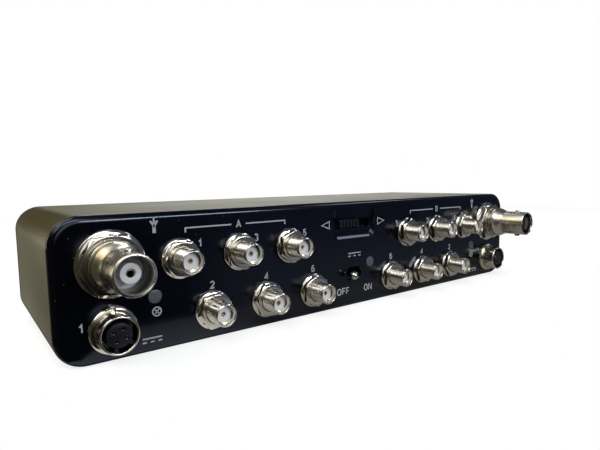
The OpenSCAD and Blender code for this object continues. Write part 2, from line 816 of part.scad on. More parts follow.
// Insert of a power socket, with the keys that guide its plug
module dc_insert(end) {
    key_end = dc_face - dc_contact_back;
    color(black_plastic) at_port(end * dc_x, dc_z) difference() {
        union() {
            bar(dc_foot_r - fit_gap, -board_d, dc_bore_floor);
            bar(dc_face_r, dc_bore_floor, dc_face);
            for (i = [0, 1])
                intersection() {
                    rotate([0, 0, i * dc_key_step - dc_key_turn - 90])
                        translate([0, -dc_key_w / 2, dc_bore_floor])
                            cube([dc_bore_r, dc_key_w, key_end - dc_bore_floor]);
                    bar(dc_bore_r - fit_gap, dc_bore_floor, key_end);
                }
        }
        at_contacts() bar(dc_contact_r + fit_gap, -board_d - over, dc_reach + over);
    }
}

module dc_contacts(end) {
    front = dc_face - dc_contact_back;
    color(gold) at_port(end * dc_x, dc_z) at_contacts() difference() {
        bar(dc_contact_r, board_back - tail_l, front);
        bar(dc_hole_r, 0, front + over);
    }
}

// Light window, flush with the panel, with the pipe that leads to its chip
module led_window(x) {
    flange_end = -panel_t - led_flange_t;
    color(smoke_window) at_port(x, led_z) {
        bar(led_r, -panel_t, 0);
        bar(led_flange_r, flange_end, -panel_t);
        bar(led_pipe_r, -board_d + led_chip_h + lip_gap, flange_end);
    }
}

module led_chips() {
    color(white_insulator) for (x = [-led_x, led_power_x, led_x])
        at_port(x, led_z) block(led_chip_w, led_chip_w, -board_d, -board_d + led_chip_h);
}

// Frame of the toggle switch, with the hollow that the lever swings in
module toggle_frame() {
    color(black_plastic) at_port(toggle_x, toggle_z) difference() {
        block(toggle_frame_w, toggle_frame_h, -board_d, -panel_t);
        block(toggle_hollow_w, toggle_hub_l + 2 * toggle_side_gap, hollow_floor, over);
        translate([0, 0, -toggle_pivot_d]) rotate([90, 0, 0])
            bar(toggle_pin_r + fit_gap, -toggle_frame_h, toggle_frame_h);
    }
}

// Ball-ended lever, leaning to its off side
module toggle_lever() {
    color(nickel) at_port(toggle_x, toggle_z) translate([0, 0, -toggle_pivot_d]) difference() {
        union() {
            rotate([90, 0, 0]) bar(toggle_hub_r, -toggle_hub_l / 2, toggle_hub_l / 2);
            rotate([0, -toggle_lean, 0]) {
                taper(toggle_root_r, toggle_neck_r, 0, toggle_l);
                translate([0, 0, toggle_l]) sphere(toggle_ball_r);
                bar(toggle_tail_r, -toggle_tail_l, 0);
            }
        }
        rotate([90, 0, 0]) bar(toggle_pin_r + run_gap, -toggle_hub_l, toggle_hub_l);
    }
}

module toggle_pin() {
    color(tin) at_port(toggle_x, toggle_z) translate([0, 0, -toggle_pivot_d]) rotate([90, 0, 0])
        bar(toggle_pin_r, -toggle_frame_h / 2, toggle_frame_h / 2);
}

// Body of the slide switch, with the hollow that the knob's stem runs in
module slide_body() {
    hollow_w = knob_travel + stem_w + 2 * stem_gap;
    color(tin) at_port(0, slide_z) difference() {
        block(slide_body_w, slide_body_h, -board_d, -panel_t);
        block(hollow_w, stem_h + 2 * stem_gap, -panel_t - stem_l - stem_gap, over);
    }
}

// Grooved knob of the slide switch, at the left end of its travel
module slide_knob() {
    pitch = knob_w / (knob_grooves + 1);
    color(black_plastic) at_port(-knob_travel / 2, slide_z) {
        difference() {
            block(knob_w, knob_h, knob_root, knob_front);
            for (i = [1:knob_grooves])
                translate([-knob_w / 2 + i * pitch, 0, 0])
                    block(knob_groove, slot_h, knob_front - knob_groove, knob_front + over);
        }
        block(stem_w, stem_h, -panel_t - stem_l, knob_root);
    }
}

// Places a shape at each terminal of the two switches
module at_terminals() {
    for (i = [-1:1]) {
        at_port(toggle_x + i * pin_pitch, toggle_z) children();
        at_port(i * pin_pitch, slide_z) children();
    }
}

module switch_terminals() {
    color(tin) at_terminals() block(pin_w, pin_w, board_back - tail_l, -board_d);
}

// Upright board behind the panel, which every jack and switch stands on
module front_board() {
    pin_hole_r = pin_w / 2 * pin_diagonal + pass_gap;
    color(board_green) difference() {
        on_panel() translate([-board_half, board_edge, board_back])
            cube([2 * board_half, case_h - 2 * board_edge, board_t]);
        for (s = ends) {
            for (p = sma_ports(s)) at_port(p[0], p[1]) board_hole(sma_contact_r + pass_gap);
            at_port(s * bnc_x, bnc_z) board_hole(bnc_contact_r + pass_gap);
            at_port(s * dc_x, dc_z) at_contacts() board_hole(dc_contact_r + pass_gap);
        }
        at_terminals() board_hole(pin_hole_r);
    }
}

module board_hole(r) {
    bar(r, board_back - over, -board_d + over);
}

// Main board, flat in the sleeve's rails
module main_board() {
    half = sleeve_half - rail_gap;
    color(board_green) translate([-half, main_front_y, main_z])
        cube([2 * half, main_rear_y - main_front_y, board_t]);
}

// Connector that joins the two boards: socket on the upright board, plug on the main board
module link_socket() {
    hole = pin_w + 2 * fit_gap;
    socket_y = front_y - board_back;
    color(black_plastic) difference() {
        translate([-link_w / 2, socket_y, main_top + rail_gap]) cube([link_w, link_socket_d, link_h]);
        at_link_pins() translate([-hole / 2, socket_y + link_socket_d - link_pin_l - pass_gap, -hole / 2])
            cube([hole, link_pin_l + over, hole]);
    }
}

module link_plug() {
    plug_y = front_y - board_back + link_socket_d;
    color(black_plastic) {
        translate([-link_w / 2, plug_y, main_top]) cube([link_w, link_plug_d, link_h]);
        at_link_pins() translate([-pin_w / 2, plug_y - link_pin_l, -pin_w / 2])
            cube([pin_w, link_pin_l + link_plug_d / 2, pin_w]);
    }
}

module at_link_pins() {
    for (i = [0:link_pins - 1])
        translate([(i - (link_pins - 1) / 2) * pin_pitch, 0, main_top + link_h / 2]) children();
}

// Soldered wall of a shield can
module can_frame(end) {
    color(tin) translate([end * can_x, can_y, 0]) difference() {
        block(can_w, can_d, main_top, main_top + can_h);
        block(can_w - 2 * can_t, can_d - 2 * can_t, main_top - over, main_top + can_h + over);
    }
}

// Lid of a shield can, with the skirt that grips the wall
module can_lid(end) {
    top = main_top + can_h;
    color(tin) translate([end * can_x, can_y, 0]) difference() {
        block(can_w + 2 * (can_t + fit_gap), can_d + 2 * (can_t + fit_gap), top - can_skirt, top + can_t);
        block(can_w + 2 * fit_gap, can_d + 2 * fit_gap, top - can_skirt - over, top);
    }
}

module splitter_chips() {
    color(black_plastic) for (s = ends)
        for (i = [0:splitters - 1])
            translate([s * can_x + (i - (splitters - 1) / 2) * splitter_pitch, can_y, 0])
                block(splitter_w, splitter_w, main_top, main_top + splitter_h);
}

module amplifier_chips() {
    color(black_plastic) for (s = ends)
        translate([s * can_x, can_y - amplifier_ahead, 0])
            block(amplifier_w, amplifier_w, main_top, main_top + amplifier_h);
}

module regulator() {
    color(black_plastic) translate([0, can_y, 0])
        block(regulator_w, regulator_d, main_top, main_top + regulator_h);
}

module power_coils() {
    color(black_plastic) for (s = ends)
        translate([s * power_x, power_front_y, 0]) bar(coil_r, main_top, main_top + coil_h);
}

module capacitors() {
    color(tin) for (s = ends)
        for (row = [1, 2])
            translate([s * power_x, power_front_y + coil_r + (2 * row - 1) * (capacitor_r + part_gap), 0])
                bar(capacitor_r, main_top, main_top + capacitor_h);
}

module fuses() {
    color(white_insulator) for (s = ends)
        translate([s * power_x, power_front_y - coil_r - fuse_d / 2 - part_gap, 0])
            block(fuse_w, fuse_d, main_top, main_top + fuse_h);
}

case_sleeve();
front_panel();
rear_panel();
tie_screws();
sma_shells(end_a);  // sma_shells_a
sma_nuts(end_a);  // sma_nuts_a
sma_washers(end_a);  // sma_washers_a
sma_insulators(end_a);  // sma_insulators_a
sma_contacts(end_a);  // sma_contacts_a
sma_shells(end_b);  // sma_shells_b
sma_nuts(end_b);  // sma_nuts_b
sma_washers(end_b);  // sma_washers_b
sma_insulators(end_b);  // sma_insulators_b
sma_contacts(end_b);  // sma_contacts_b
bnc_shell(end_a);  // bnc_shell_a
bnc_nut(end_a);  // bnc_nut_a
bnc_washer(end_a);  // bnc_washer_a
bnc_insulator(end_a);  // bnc_insulator_a
bnc_contact(end_a);  // bnc_contact_a
bnc_shell(end_b);  // bnc_shell_b
bnc_nut(end_b);  // bnc_nut_b
bnc_washer(end_b);  // bnc_washer_b
bnc_insulator(end_b);  // bnc_insulator_b
bnc_contact(end_b);  // bnc_contact_b
dc_shell(end_a);  // dc_shell_a
dc_nut(end_a);  // dc_nut_a
dc_insert(end_a);  // dc_insert_a
dc_contacts(end_a);  // dc_contacts_a
dc_shell(end_b);  // dc_shell_b
dc_nut(end_b);  // dc_nut_b
dc_insert(end_b);  // dc_insert_b
dc_contacts(end_b);  // dc_contacts_b
led_window(-led_x);  // led_window_a
led_window(led_power_x);  // led_window_power
led_window(led_x);  // led_window_b
led_chips();
toggle_frame();
toggle_lever();
toggle_pin();
slide_body();
slide_knob();
switch_terminals();
front_board();
main_board();
link_socket();
link_plug();
can_frame(end_a);  // can_frame_a
can_lid(end_a);  // can_lid_a
can_frame(end_b);  // can_frame_b
can_lid(end_b);  // can_lid_b
splitter_chips();
amplifier_chips();
regulator();
power_coils();
capacitors();
fuses();
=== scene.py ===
import json
from math import cos, hypot, pi, radians, sin, sqrt

import bmesh
import bpy
from mathutils import Matrix, Vector, geometry


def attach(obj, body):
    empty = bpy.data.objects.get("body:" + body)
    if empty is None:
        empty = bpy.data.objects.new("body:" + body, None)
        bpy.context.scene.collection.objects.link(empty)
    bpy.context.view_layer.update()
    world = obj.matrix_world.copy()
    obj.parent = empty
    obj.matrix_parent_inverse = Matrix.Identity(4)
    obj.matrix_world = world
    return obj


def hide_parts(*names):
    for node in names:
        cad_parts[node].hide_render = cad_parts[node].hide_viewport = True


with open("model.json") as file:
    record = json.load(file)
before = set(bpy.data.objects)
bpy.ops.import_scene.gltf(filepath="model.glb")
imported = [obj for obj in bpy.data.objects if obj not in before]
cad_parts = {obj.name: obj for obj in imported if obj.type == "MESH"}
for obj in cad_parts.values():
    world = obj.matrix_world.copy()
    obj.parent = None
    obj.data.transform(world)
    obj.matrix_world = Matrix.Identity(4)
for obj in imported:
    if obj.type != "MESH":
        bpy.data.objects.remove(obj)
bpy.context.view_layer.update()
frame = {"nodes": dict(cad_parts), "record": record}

# Sizes of the part in millimetres. Panel places are (along the panel, height), depths are out of its face.
MM = 0.001
CASE_W, CASE_H, CASE_D = 192.0, 37.0, 62.0
CORNER_R, PANEL_D, PANEL_T, REAR_T = 7.5, 2.0, 3.0, 2.5
EDGE_R, EDGE_STRETCH, REAR_EDGE_R, PLUG_GAP = 1.5, 1.25, 0.7, 0.1
FRONT_Y, REAR_Y = -CASE_D / 2, CASE_D / 2
SLEEVE_FRONT, SLEEVE_REAR, SLEEVE_WALL = FRONT_Y + PANEL_D, REAR_Y - REAR_T, 1.6
GROOVE_D, GROOVE_W = 0.4, 0.5
ENDS = {"a": -1, "b": 1}
SMA_X, SMA_PITCH, SMA_STAGGER, SMA_HIGH, SMA_LOW = 64.2, 18.2, 9.0, 24.1, 8.4
BNC_X, BNC_Z = 82.3, 24.8
DC_X, DC_Z = 82.65, 8.35
LED_Z, LED_R, LED_GAP = 14.8, 1.85, 0.12
SMA_HOLE_R, BNC_HOLE_R, DC_HOLE_R = 3.2, 6.05, 4.85
LEDS = {"led_window_a": -71.55, "led_window_power": 7.9, "led_window_b": 71.55}
TOGGLE_X, TOGGLE_Z, TOGGLE_DEPTH, TOGGLE_LEAN = -0.5, 11.5, 7.2, 14.0
TOGGLE_HOLE_W, TOGGLE_HOLE_H, TOGGLE_HOLE_R = 7.2, 4.7, 2.3
SLIDE_Z, SLOT_W, SLOT_H, SLOT_R = 29.3, 16.4, 3.2, 0.35
RECESS_LOW, RECESS_HIGH, RECESS_W, RECESS_R, RECESS_D = 24.1, 34.98, 19.6, 2.5, 1.0
KNOB_X, KNOB_W, KNOB_H, KNOB_RIDGES = -2.4, 8.8, 2.8, 6
SCREW_X, SCREW_INSET = 90.8, 5.2
# Where the jacks stand on the front board, and where their contacts end behind it
FOOT_DEPTH, TAIL_DEPTH = -12.0, -14.6
# Edges are creased where faces meet at more than these angles in degrees
CREASE, FINE_CREASE, NUT_CREASE, KNOB_CREASE = 38.0, 30.0, 20.0, 22.0


def sma_places(end):
    """Places of one end's six threaded outputs, upper row first, from the side inwards."""
    side = ENDS[end]
    upper = [(side * (SMA_X - i * SMA_PITCH), SMA_HIGH) for i in range(3)]
    lower = [(side * (SMA_X - SMA_STAGGER - i * SMA_PITCH), SMA_LOW) for i in range(3)]
    return upper + lower


# Finishes


def node(tree, kind, inputs=None, **settings):
    """A shader node with its settings; its inputs are plain values, or sockets that it is linked to."""
    made = tree.nodes.new(kind)
    for key, value in settings.items():
        setattr(made, key, value)
    for key, value in (inputs or {}).items():
        if isinstance(value, bpy.types.NodeSocket):
            tree.links.new(value, made.inputs[key])
        else:
            made.inputs[key].default_value = value
    return made


def reckon(tree, operation, *terms, **settings):
    """The result of a sum on sockets and plain numbers."""
    return node(tree, "ShaderNodeMath", dict(enumerate(terms)), operation=operation, **settings).outputs[0]


def spread(tree, value, start, stop, low=0.0, high=1.0):
    """From low to high as a value goes from start to stop."""
    ends = {"From Min": start, "From Max": stop, "To Min": low, "To Max": high}
    return node(tree, "ShaderNodeMapRange", {"Value": value, **ends}).outputs["Result"]


def blend(tree, mask, under, over):
    """One colour where a mask is low, another where it is high."""
    inputs = {"Factor": mask, "A": under, "B": over}
    return node(tree, "ShaderNodeMix", inputs, data_type="RGBA").outputs["Result"]


def lay_over(tree, under, mask, colour):
    """A plain colour laid over another one where a mask is high."""
    return blend(tree, mask, under, (*colour, 1))


def make_group(name, inputs, outputs):
    """An empty node group with float and colour sockets."""
    group = bpy.data.node_groups.new(name, "ShaderNodeTree")
    for label, start in inputs:
        kind = "NodeSocketColor" if isinstance(start, tuple) else "NodeSocketFloat"
        group.interface.new_socket(label, in_out="INPUT", socket_type=kind).default_value = start
    for label, kind in outputs:
        group.interface.new_socket(label, in_out="OUTPUT", socket_type=kind)
    return group, node(group, "NodeGroupInput"), node(group, "NodeGroupOutput")


def make_grain_group():
    """Fine grain with slow clouding: a colour, a roughness and a height that vary over the surface."""
    group, start, end = make_group(
        "surface_grain",
        [("Colour", (0.5, 0.5, 0.5, 1)), ("Cloud colour", (0.4, 0.4, 0.4, 1)), ("Grain per metre", 4000.0),
         ("Clouds per metre", 60.0), ("Smooth", 0.2), ("Rough", 0.4)],
        [("Colour", "NodeSocketColor"), ("Roughness", "NodeSocketFloat"), ("Height", "NodeSocketFloat")])
    given = start.outputs
    place = node(group, "ShaderNodeTexCoord").outputs["Object"]

    def noise(rate, detail, roughness):
        inputs = {"Vector": place, "Scale": given[rate], "Detail": detail, "Roughness": roughness}
        return node(group, "ShaderNodeTexNoise", inputs).outputs["Fac"]

    grain = noise("Grain per metre", 3.0, 0.6)
    clouds = spread(group, noise("Clouds per metre", 4.0, 0.55), 0.35, 0.65)
    both = reckon(group, "MULTIPLY_ADD", clouds, 0.7, reckon(group, "MULTIPLY", grain, 0.3))
    tone = blend(group, both, given["Colour"], given["Cloud colour"])
    gloss = spread(group, both, 0.0, 1.0, given["Smooth"], given["Rough"])
    for label, value in (("Colour", tone), ("Roughness", gloss), ("Height", grain)):
        group.links.new(value, end.inputs[label])
    return group


def make_wear_group():
    """Edge wear: a mask of the ridges, broken up by noise."""
    group, start, end = make_group(
        "edge_wear", [("From", 0.52), ("To", 0.6), ("Breaks per metre", 900.0)],
        [("Mask", "NodeSocketFloat")])
    given = start.outputs
    point = node(group, "ShaderNodeNewGeometry").outputs["Pointiness"]
    ridge = spread(group, point, given["From"], given["To"])
    place = node(group, "ShaderNodeTexCoord").outputs["Object"]
    breaks = node(group, "ShaderNodeTexNoise", {
        "Vector": place, "Scale": given["Breaks per metre"], "Detail": 3.0}).outputs["Fac"]
    group.links.new(reckon(group, "MULTIPLY", ridge, breaks, use_clamp=True), end.inputs["Mask"])
    return group


def make_dust_group():
    """Settled dust: a mask of small specks, one in some of the cells, with soft edges."""
    group, start, end = make_group(
        "settled_dust", [("Specks per metre", 260.0), ("Speck size", 0.05), ("Share left out", 0.62)],
        [("Mask", "NodeSocketFloat")])
    given = start.outputs
    place = node(group, "ShaderNodeTexCoord").outputs["Object"]
    cells = node(group, "ShaderNodeTexVoronoi", {"Vector": place, "Scale": given["Specks per metre"]}).outputs
    speck = spread(group, cells["Distance"], given["Speck size"], 0.0)
    kept = reckon(group, "GREATER_THAN", cells["Color"], given["Share left out"])
    group.links.new(reckon(group, "MULTIPLY", speck, kept, use_clamp=True), end.inputs["Mask"])
    return group


GRAIN, WEAR, DUST = make_grain_group(), make_wear_group(), make_dust_group()


def make_finish(name, colour, cloud, grain=4000.0, clouds=60.0, rough=(0.2, 0.4), bump=0.1, depth=0.00002,
                wear=None, dust=None, **shader):
    """A material: grain with bump from it, wear on the ridges, dust, and the shader's own constants."""
    finish = bpy.data.materials.new(name)
    finish.use_nodes = True
    finish.diffuse_color = (*colour, 1)
    tree = finish.node_tree
    bsdf = tree.nodes["Principled BSDF"].inputs
    for key, value in shader.items():
        bsdf[key.replace("_", " ")].default_value = value
    grains = node(tree, "ShaderNodeGroup", node_tree=GRAIN, inputs={
        "Colour": (*colour, 1), "Cloud colour": (*cloud, 1), "Grain per metre": grain,
        "Clouds per metre": clouds, "Smooth": rough[0], "Rough": rough[1]}).outputs
    tone = grains["Colour"]
    for group, over in ((WEAR, wear), (DUST, dust)):
        if over:
            tone = lay_over(tree, tone, node(tree, "ShaderNodeGroup", node_tree=group).outputs["Mask"], over)
    bumps = node(tree, "ShaderNodeBump", {"Strength": bump, "Distance": depth, "Height": grains["Height"]})
    tree.links.new(tone, bsdf["Base Color"])
    tree.links.new(grains["Roughness"], bsdf["Roughness"])
    tree.links.new(bumps.outputs["Normal"], bsdf["Normal"])
    return finish


def darken_long_corners(finish, colour):
    """Painted shade: lays a darker tone over the rounded long corners of the sleeve, where its side turns
    into its top, in place of the dark reflection there.
    """
    tree = finish.node_tree
    tone = tree.nodes["Principled BSDF"].inputs["Base Color"]
    under = tone.links[0].from_socket
    normal = node(tree, "ShaderNodeTexCoord").outputs["Normal"]
    facing = node(tree, "ShaderNodeSeparateXYZ", {"Vector": normal}).outputs
    slant = reckon(tree, "ABSOLUTE", reckon(tree, "MULTIPLY", facing["X"], facing["Z"]))
    tree.links.new(lay_over(tree, under, spread(tree, slant, 0.06, 0.3), colour), tone)


BRONZE = make_finish("bronze_satin", (0.203, 0.190, 0.124), (0.185, 0.172, 0.110), grain=5200, clouds=35,
                     rough=(0.36, 0.46), bump=0.25, depth=0.00003, wear=(0.36, 0.34, 0.28),
                     dust=(0.36, 0.34, 0.30), Metallic=0.3)
# Painted shade: a darker tone on the sleeve's rounded long corners
darken_long_corners(BRONZE, (0.045, 0.037, 0.004))
GLOSS_BLACK = make_finish("panel_lacquer", (0.0006, 0.0009, 0.0022), (0.0011, 0.0015, 0.0030), grain=900,
                          clouds=45, rough=(0.12, 0.19), bump=0.02, dust=(0.10, 0.105, 0.115),
                          Specular_Tint=(0.70, 0.80, 1.0, 1))
REAR_BLACK = make_finish("rear_powder_coat", (0.018, 0.019, 0.022), (0.024, 0.025, 0.028), grain=3800,
                         clouds=80, rough=(0.42, 0.55), bump=0.5, depth=0.00005, wear=(0.08, 0.08, 0.085),
                         dust=(0.12, 0.12, 0.12))
NICKEL = make_finish("nickel_plate", (0.69, 0.655, 0.58), (0.57, 0.53, 0.445), grain=3000, clouds=240,
                     rough=(0.09, 0.2), bump=0.06, wear=(0.78, 0.76, 0.71), Metallic=1.0)
SATIN_NICKEL = make_finish("satin_nickel", (0.66, 0.625, 0.55), (0.55, 0.51, 0.43), grain=3000, clouds=240,
                           rough=(0.2, 0.32), bump=0.06, wear=(0.76, 0.74, 0.69), Metallic=1.0)
THREAD_NICKEL = make_finish("thread_nickel", (0.70, 0.665, 0.59), (0.59, 0.55, 0.465), grain=3000,
                            clouds=240, rough=(0.15, 0.25), bump=0.06, wear=(0.78, 0.76, 0.71), Metallic=1.0)
# Painted shade: a darker copy of the nickel that lines the inputs' bores and keeps their walls dark
BORE_SHADE_NICKEL = make_finish("bore_shade_nickel", (0.24, 0.225, 0.2), (0.18, 0.165, 0.14), grain=3000, clouds=240,
                          rough=(0.18, 0.3), bump=0.06, Metallic=1.0)
BRASS = make_finish("brass_contact", (0.34, 0.28, 0.18), (0.26, 0.21, 0.13), grain=5000, clouds=500,
                    rough=(0.2, 0.34), bump=0.05, Metallic=1.0)
GOLD = make_finish("gold_plate", (0.60, 0.43, 0.20), (0.46, 0.32, 0.14), grain=5000, clouds=500,
                   rough=(0.2, 0.34), bump=0.05, Metallic=1.0)
INSULATOR = make_finish("white_insulator", (0.82, 0.855, 0.92), (0.75, 0.785, 0.85), grain=2600, clouds=300,
                        rough=(0.38, 0.5), bump=0.08, Subsurface_Weight=0.4,
                        Subsurface_Radius=(1.0, 1.0, 1.0), Subsurface_Scale=0.001)
BLACK_PLASTIC = make_finish("black_moulding", (0.004, 0.006, 0.012), (0.006, 0.009, 0.016), grain=5200,
                            clouds=160, rough=(0.38, 0.5), bump=0.3, depth=0.00003,
                            wear=(0.02, 0.022, 0.028), Specular_IOR_Level=0.2)
# Painted shade: matt black for the sheet that darkens the slide's slot
SHADE_SHEET_BLACK = make_finish("painted_shade_sheet", (0.0008, 0.0008, 0.001), (0.0014, 0.0014, 0.0018), grain=6000,
                          clouds=200, rough=(0.8, 0.95), bump=0.2, Specular_IOR_Level=0.04)
SMOKE = make_finish("smoke_window", (0.095, 0.102, 0.114), (0.070, 0.077, 0.088), grain=2400, clouds=420,
                    rough=(0.3, 0.42), bump=0.06, dust=(0.15, 0.155, 0.17))
BOARD = make_finish("solder_mask", (0.018, 0.11, 0.045), (0.014, 0.085, 0.035), grain=3000, clouds=140,
                    rough=(0.28, 0.4), bump=0.1)
TIN = make_finish("tinned_steel", (0.56, 0.56, 0.55), (0.47, 0.47, 0.46), grain=2600, clouds=160,
                  rough=(0.25, 0.4), bump=0.1, Metallic=1.0)
INK = make_finish("print_ink", (0.44, 0.46, 0.48), (0.37, 0.39, 0.41), grain=7000, clouds=500,
                  rough=(0.45, 0.6), bump=0.1)

SLOT_FINISHES = {
    "bronze_sleeve": BRONZE, "black_panel": GLOSS_BLACK, "nickel": NICKEL, "gold_contact": GOLD,
    "white_insulator": INSULATOR, "black_plastic": BLACK_PLASTIC, "smoke_window": SMOKE,
    "circuit_board": BOARD, "tin": TIN,
}

# Every solid gets the finish of its slot; the pieces that stay hidden in the case keep their solids
for row in frame["record"]["subparts"]:
    solid = frame["nodes"][row["node"]]
    solid.data.materials.clear()
    solid.data.materials.append(SLOT_FINISHES[row["material_slot"]])


# Shapes


class Shape:
    """Points and faces of one piece."""

    def __init__(self):
        self.points, self.faces = [], []

    def ring(self, points):
        first = len(self.points)
        self.points += [tuple(p) for p in points]
        return list(range(first, len(self.points)))

    def band(self, low, high):
        """Quads between two rings of the same length."""
        for i in range(len(low)):
            k = (i + 1) % len(low)
            self.faces.append((low[i], low[k], high[k], high[i]))

    def skin(self, rings, loop=False, capped=False):
        """Bands through rings of points; loop joins the last ring to the first, capped closes both."""
        made = [self.ring(points) for points in rings]
        for low, high in zip(made, made[1:] + made[:1] if loop else made[1:]):
            self.band(low, high)
        if capped:
            self.faces += [tuple(made[0]), tuple(made[-1])]
        return made

    def plate(self, outer, holes):
        """Flat face inside the ring outer, with holes. All are rings of this shape's points."""
        loops = [outer] + holes
        flat = [[Vector(self.points[i]) for i in loop] for loop in loops]
        index = [i for loop in loops for i in loop]
        for corners in geometry.tessellate_polygon(flat):
            self.faces.append(tuple(index[i] for i in corners))

    def add(self, other, place):
        """A copy of another shape at a place."""
        first = len(self.points)
        self.points += [tuple(place @ Vector(p)) for p in other.points]
        self.faces += [tuple(first + i for i in corners) for corners in other.faces]


# Panel frame to the part's frame: along the panel, up from the case's bottom, out of the panel's face
ON_PANEL = Matrix(((1, 0, 0, 0), (0, 0, -1, FRONT_Y), (0, 1, 0, 0), (0, 0, 0, 1)))
ON_REAR = Matrix(((-1, 0, 0, 0), (0, 0, 1, REAR_Y), (0, 1, 0, 0), (0, 0, 0, 1)))


def at(x, z, turn=0.0):
    """A place on the panel, turned about its own axis by degrees."""
    return Matrix.Translation((x, z, 0)) @ Matrix.Rotation(radians(turn), 4, "Z")


def make_piece(name, shape, finish, slot, body="case", stands_for=(), stand=ON_PANEL, sharp=CREASE,
               solid=True):
    """A piece of the part from a shape in millimetres, creased where faces meet at more than sharp degrees.

    A solid piece's faces are turned outwards; the others keep the side that they were drawn from.
    """
    mesh = bpy.data.meshes.new(name)
    mesh.from_pydata([(stand @ Vector(p)) * MM for p in shape.points], [], shape.faces)
    mesh.materials.append(finish)
    if solid:
        work = bmesh.new()
        work.from_mesh(mesh)
        bmesh.ops.recalc_face_normals(work, faces=work.faces)
        work.to_mesh(mesh)
        work.free()
    mesh.shade_smooth()
    mesh.set_sharp_from_angle(angle=radians(sharp))
    piece = bpy.data.objects.new(name, mesh)
    bpy.context.scene.collection.objects.link(piece)
    if stands_for:
        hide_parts(*stands_for)
    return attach(piece, body)


def circle(r, depth, steps=64, wave=None, middle=(0.0, 0.0)):
    """A ring about a middle; wave(angle, depth) is added to its radius."""
    angles = [2 * pi * i / steps for i in range(steps)]
    radii = [r + (wave(a, depth) if wave else 0.0) for a in angles]
    return [(middle[0] + q * cos(a), middle[1] + q * sin(a), depth) for q, a in zip(radii, angles)]


def turned(profile, steps=64, capped=False):
    """A turned part: a profile of (radius, depth) about the axis, closed into a loop or capped."""
    shape = Shape()
    shape.skin([circle(r, d, steps) for r, d in profile], loop=not capped, capped=capped)
    return shape


def thread_wave(pitch, height, start, stop):
    """A right-hand thread's groove, which runs out towards both ends."""
    crest, runout = 0.15, 0.6

    def wave(angle, depth):
        turn = (depth / pitch - angle / (2 * pi)) % 1.0
        groove = max(0.0, (1 + crest) * (1 - abs(2 * turn - 1)) - crest)
        fade_in = max(0.0, (depth - start) / pitch)
        fade_out = max(0.0, (stop - depth) / (runout * pitch))
        return -height * groove * min(1.0, fade_in, fade_out)
    return wave


def threaded_rings(r, start, stop, pitch, height, steps=56, samples=8):
    """Rings of a threaded bar, from stop back to start."""
    count = max(2, round((stop - start) / pitch * samples))
    wave = thread_wave(pitch, height, start, stop)
    return [circle(r, stop - (stop - start) * i / count, steps, wave) for i in range(count + 1)]


def hexagon_nut(across, thick, bore_r, seat, land, steps=96, corner=0.07, slope=1.73, bulge=1.7, lead=0.3,
                foot=0.1):
    """A hexagon nut: flat land on its front, a bulged chamfer around it, lightly turned corners."""
    shape = Shape()
    top_r = across / 2 - land
    tip_r = across / 2 / cos(pi / 6) - corner
    angles = [2 * pi * i / steps for i in range(steps)]
    side = [min(across / 2 / cos(a % (pi / 3) - pi / 6), tip_r) for a in angles]
    front = seat + thick

    def sides(depth, inset=0.0):
        return [((r - inset) * cos(a), (r - inset) * sin(a), depth) for r, a in zip(side, angles)]

    def chamfer(part):
        out = [(top_r + (r - top_r) * part, (r - top_r) / slope * part ** bulge) for r in side]
        return [(r * cos(a), r * sin(a), front - drop) for (r, drop), a in zip(out, angles)]

    shape.skin([
        circle(bore_r, seat, steps), circle(bore_r, front - lead, steps), circle(bore_r + lead, front, steps),
        circle(top_r, front, steps), *[chamfer(i / 5) for i in range(1, 6)],
        sides(seat + foot), sides(seat, foot)], loop=True)
    return shape


def lock_washer(r, thick, bore_r, gap_r, teeth, steps=144, tooth=0.66):
    """A lock washer: a sloped outer ring with short teeth inwards, and gaps between them out to gap_r."""
    def gaps(angle, depth):
        turn = angle * teeth / (2 * pi) % 1.0
        return gap_r - bore_r if turn > tooth else 0.0

    toothed = [circle(bore_r, depth, steps, gaps) for depth in (0.0, thick)]
    face = [(gap_r + 0.02, thick), (r - 0.1, thick - 0.3), (r - 0.02, thick - 0.38), (r, thick - 0.5),
            (r, 0.0)]
    shape = Shape()
    shape.skin(toothed + [circle(radius, depth, steps) for radius, depth in face], loop=True)
    return shape


def rounded_outline(w, h, r, arc=20, ease=0.4):
    """Points and outward directions of a rectangle with round corners, with a point beside each arc."""
    out = []
    for quarter in range(4):
        cx = (w / 2 - r) * (1 if quarter in (0, 3) else -1)
        cy = (h / 2 - r) * (1 if quarter < 2 else -1)
        arcs = [pi / 2 * (quarter + i / arc) for i in range(arc + 1)]
        points = [(cx + r * cos(a), cy + r * sin(a), cos(a), sin(a)) for a in arcs]
        x, y, nx, ny = points[0]
        points.insert(0, (x + ny * ease, y - nx * ease, nx, ny))
        x, y, nx, ny = points[-1]
        points.append((x - ny * ease, y + nx * ease, nx, ny))
        out += points
    return out


def outline_ring(outline, inset, depth, middle=(0.0, 0.0)):
    """The outline drawn in by inset, at a depth."""
    return [(x - nx * inset + middle[0], y - ny * inset + middle[1], depth) for x, y, nx, ny in outline]


def quarter_round(r, steps):
    """Insets and depths of a quarter round that ends flush with the face."""
    turns = [pi / 2 * i / steps for i in range(steps + 1)]
    return [(r * (1 - cos(t)), -r * (1 - sin(t))) for t in turns]


# Case


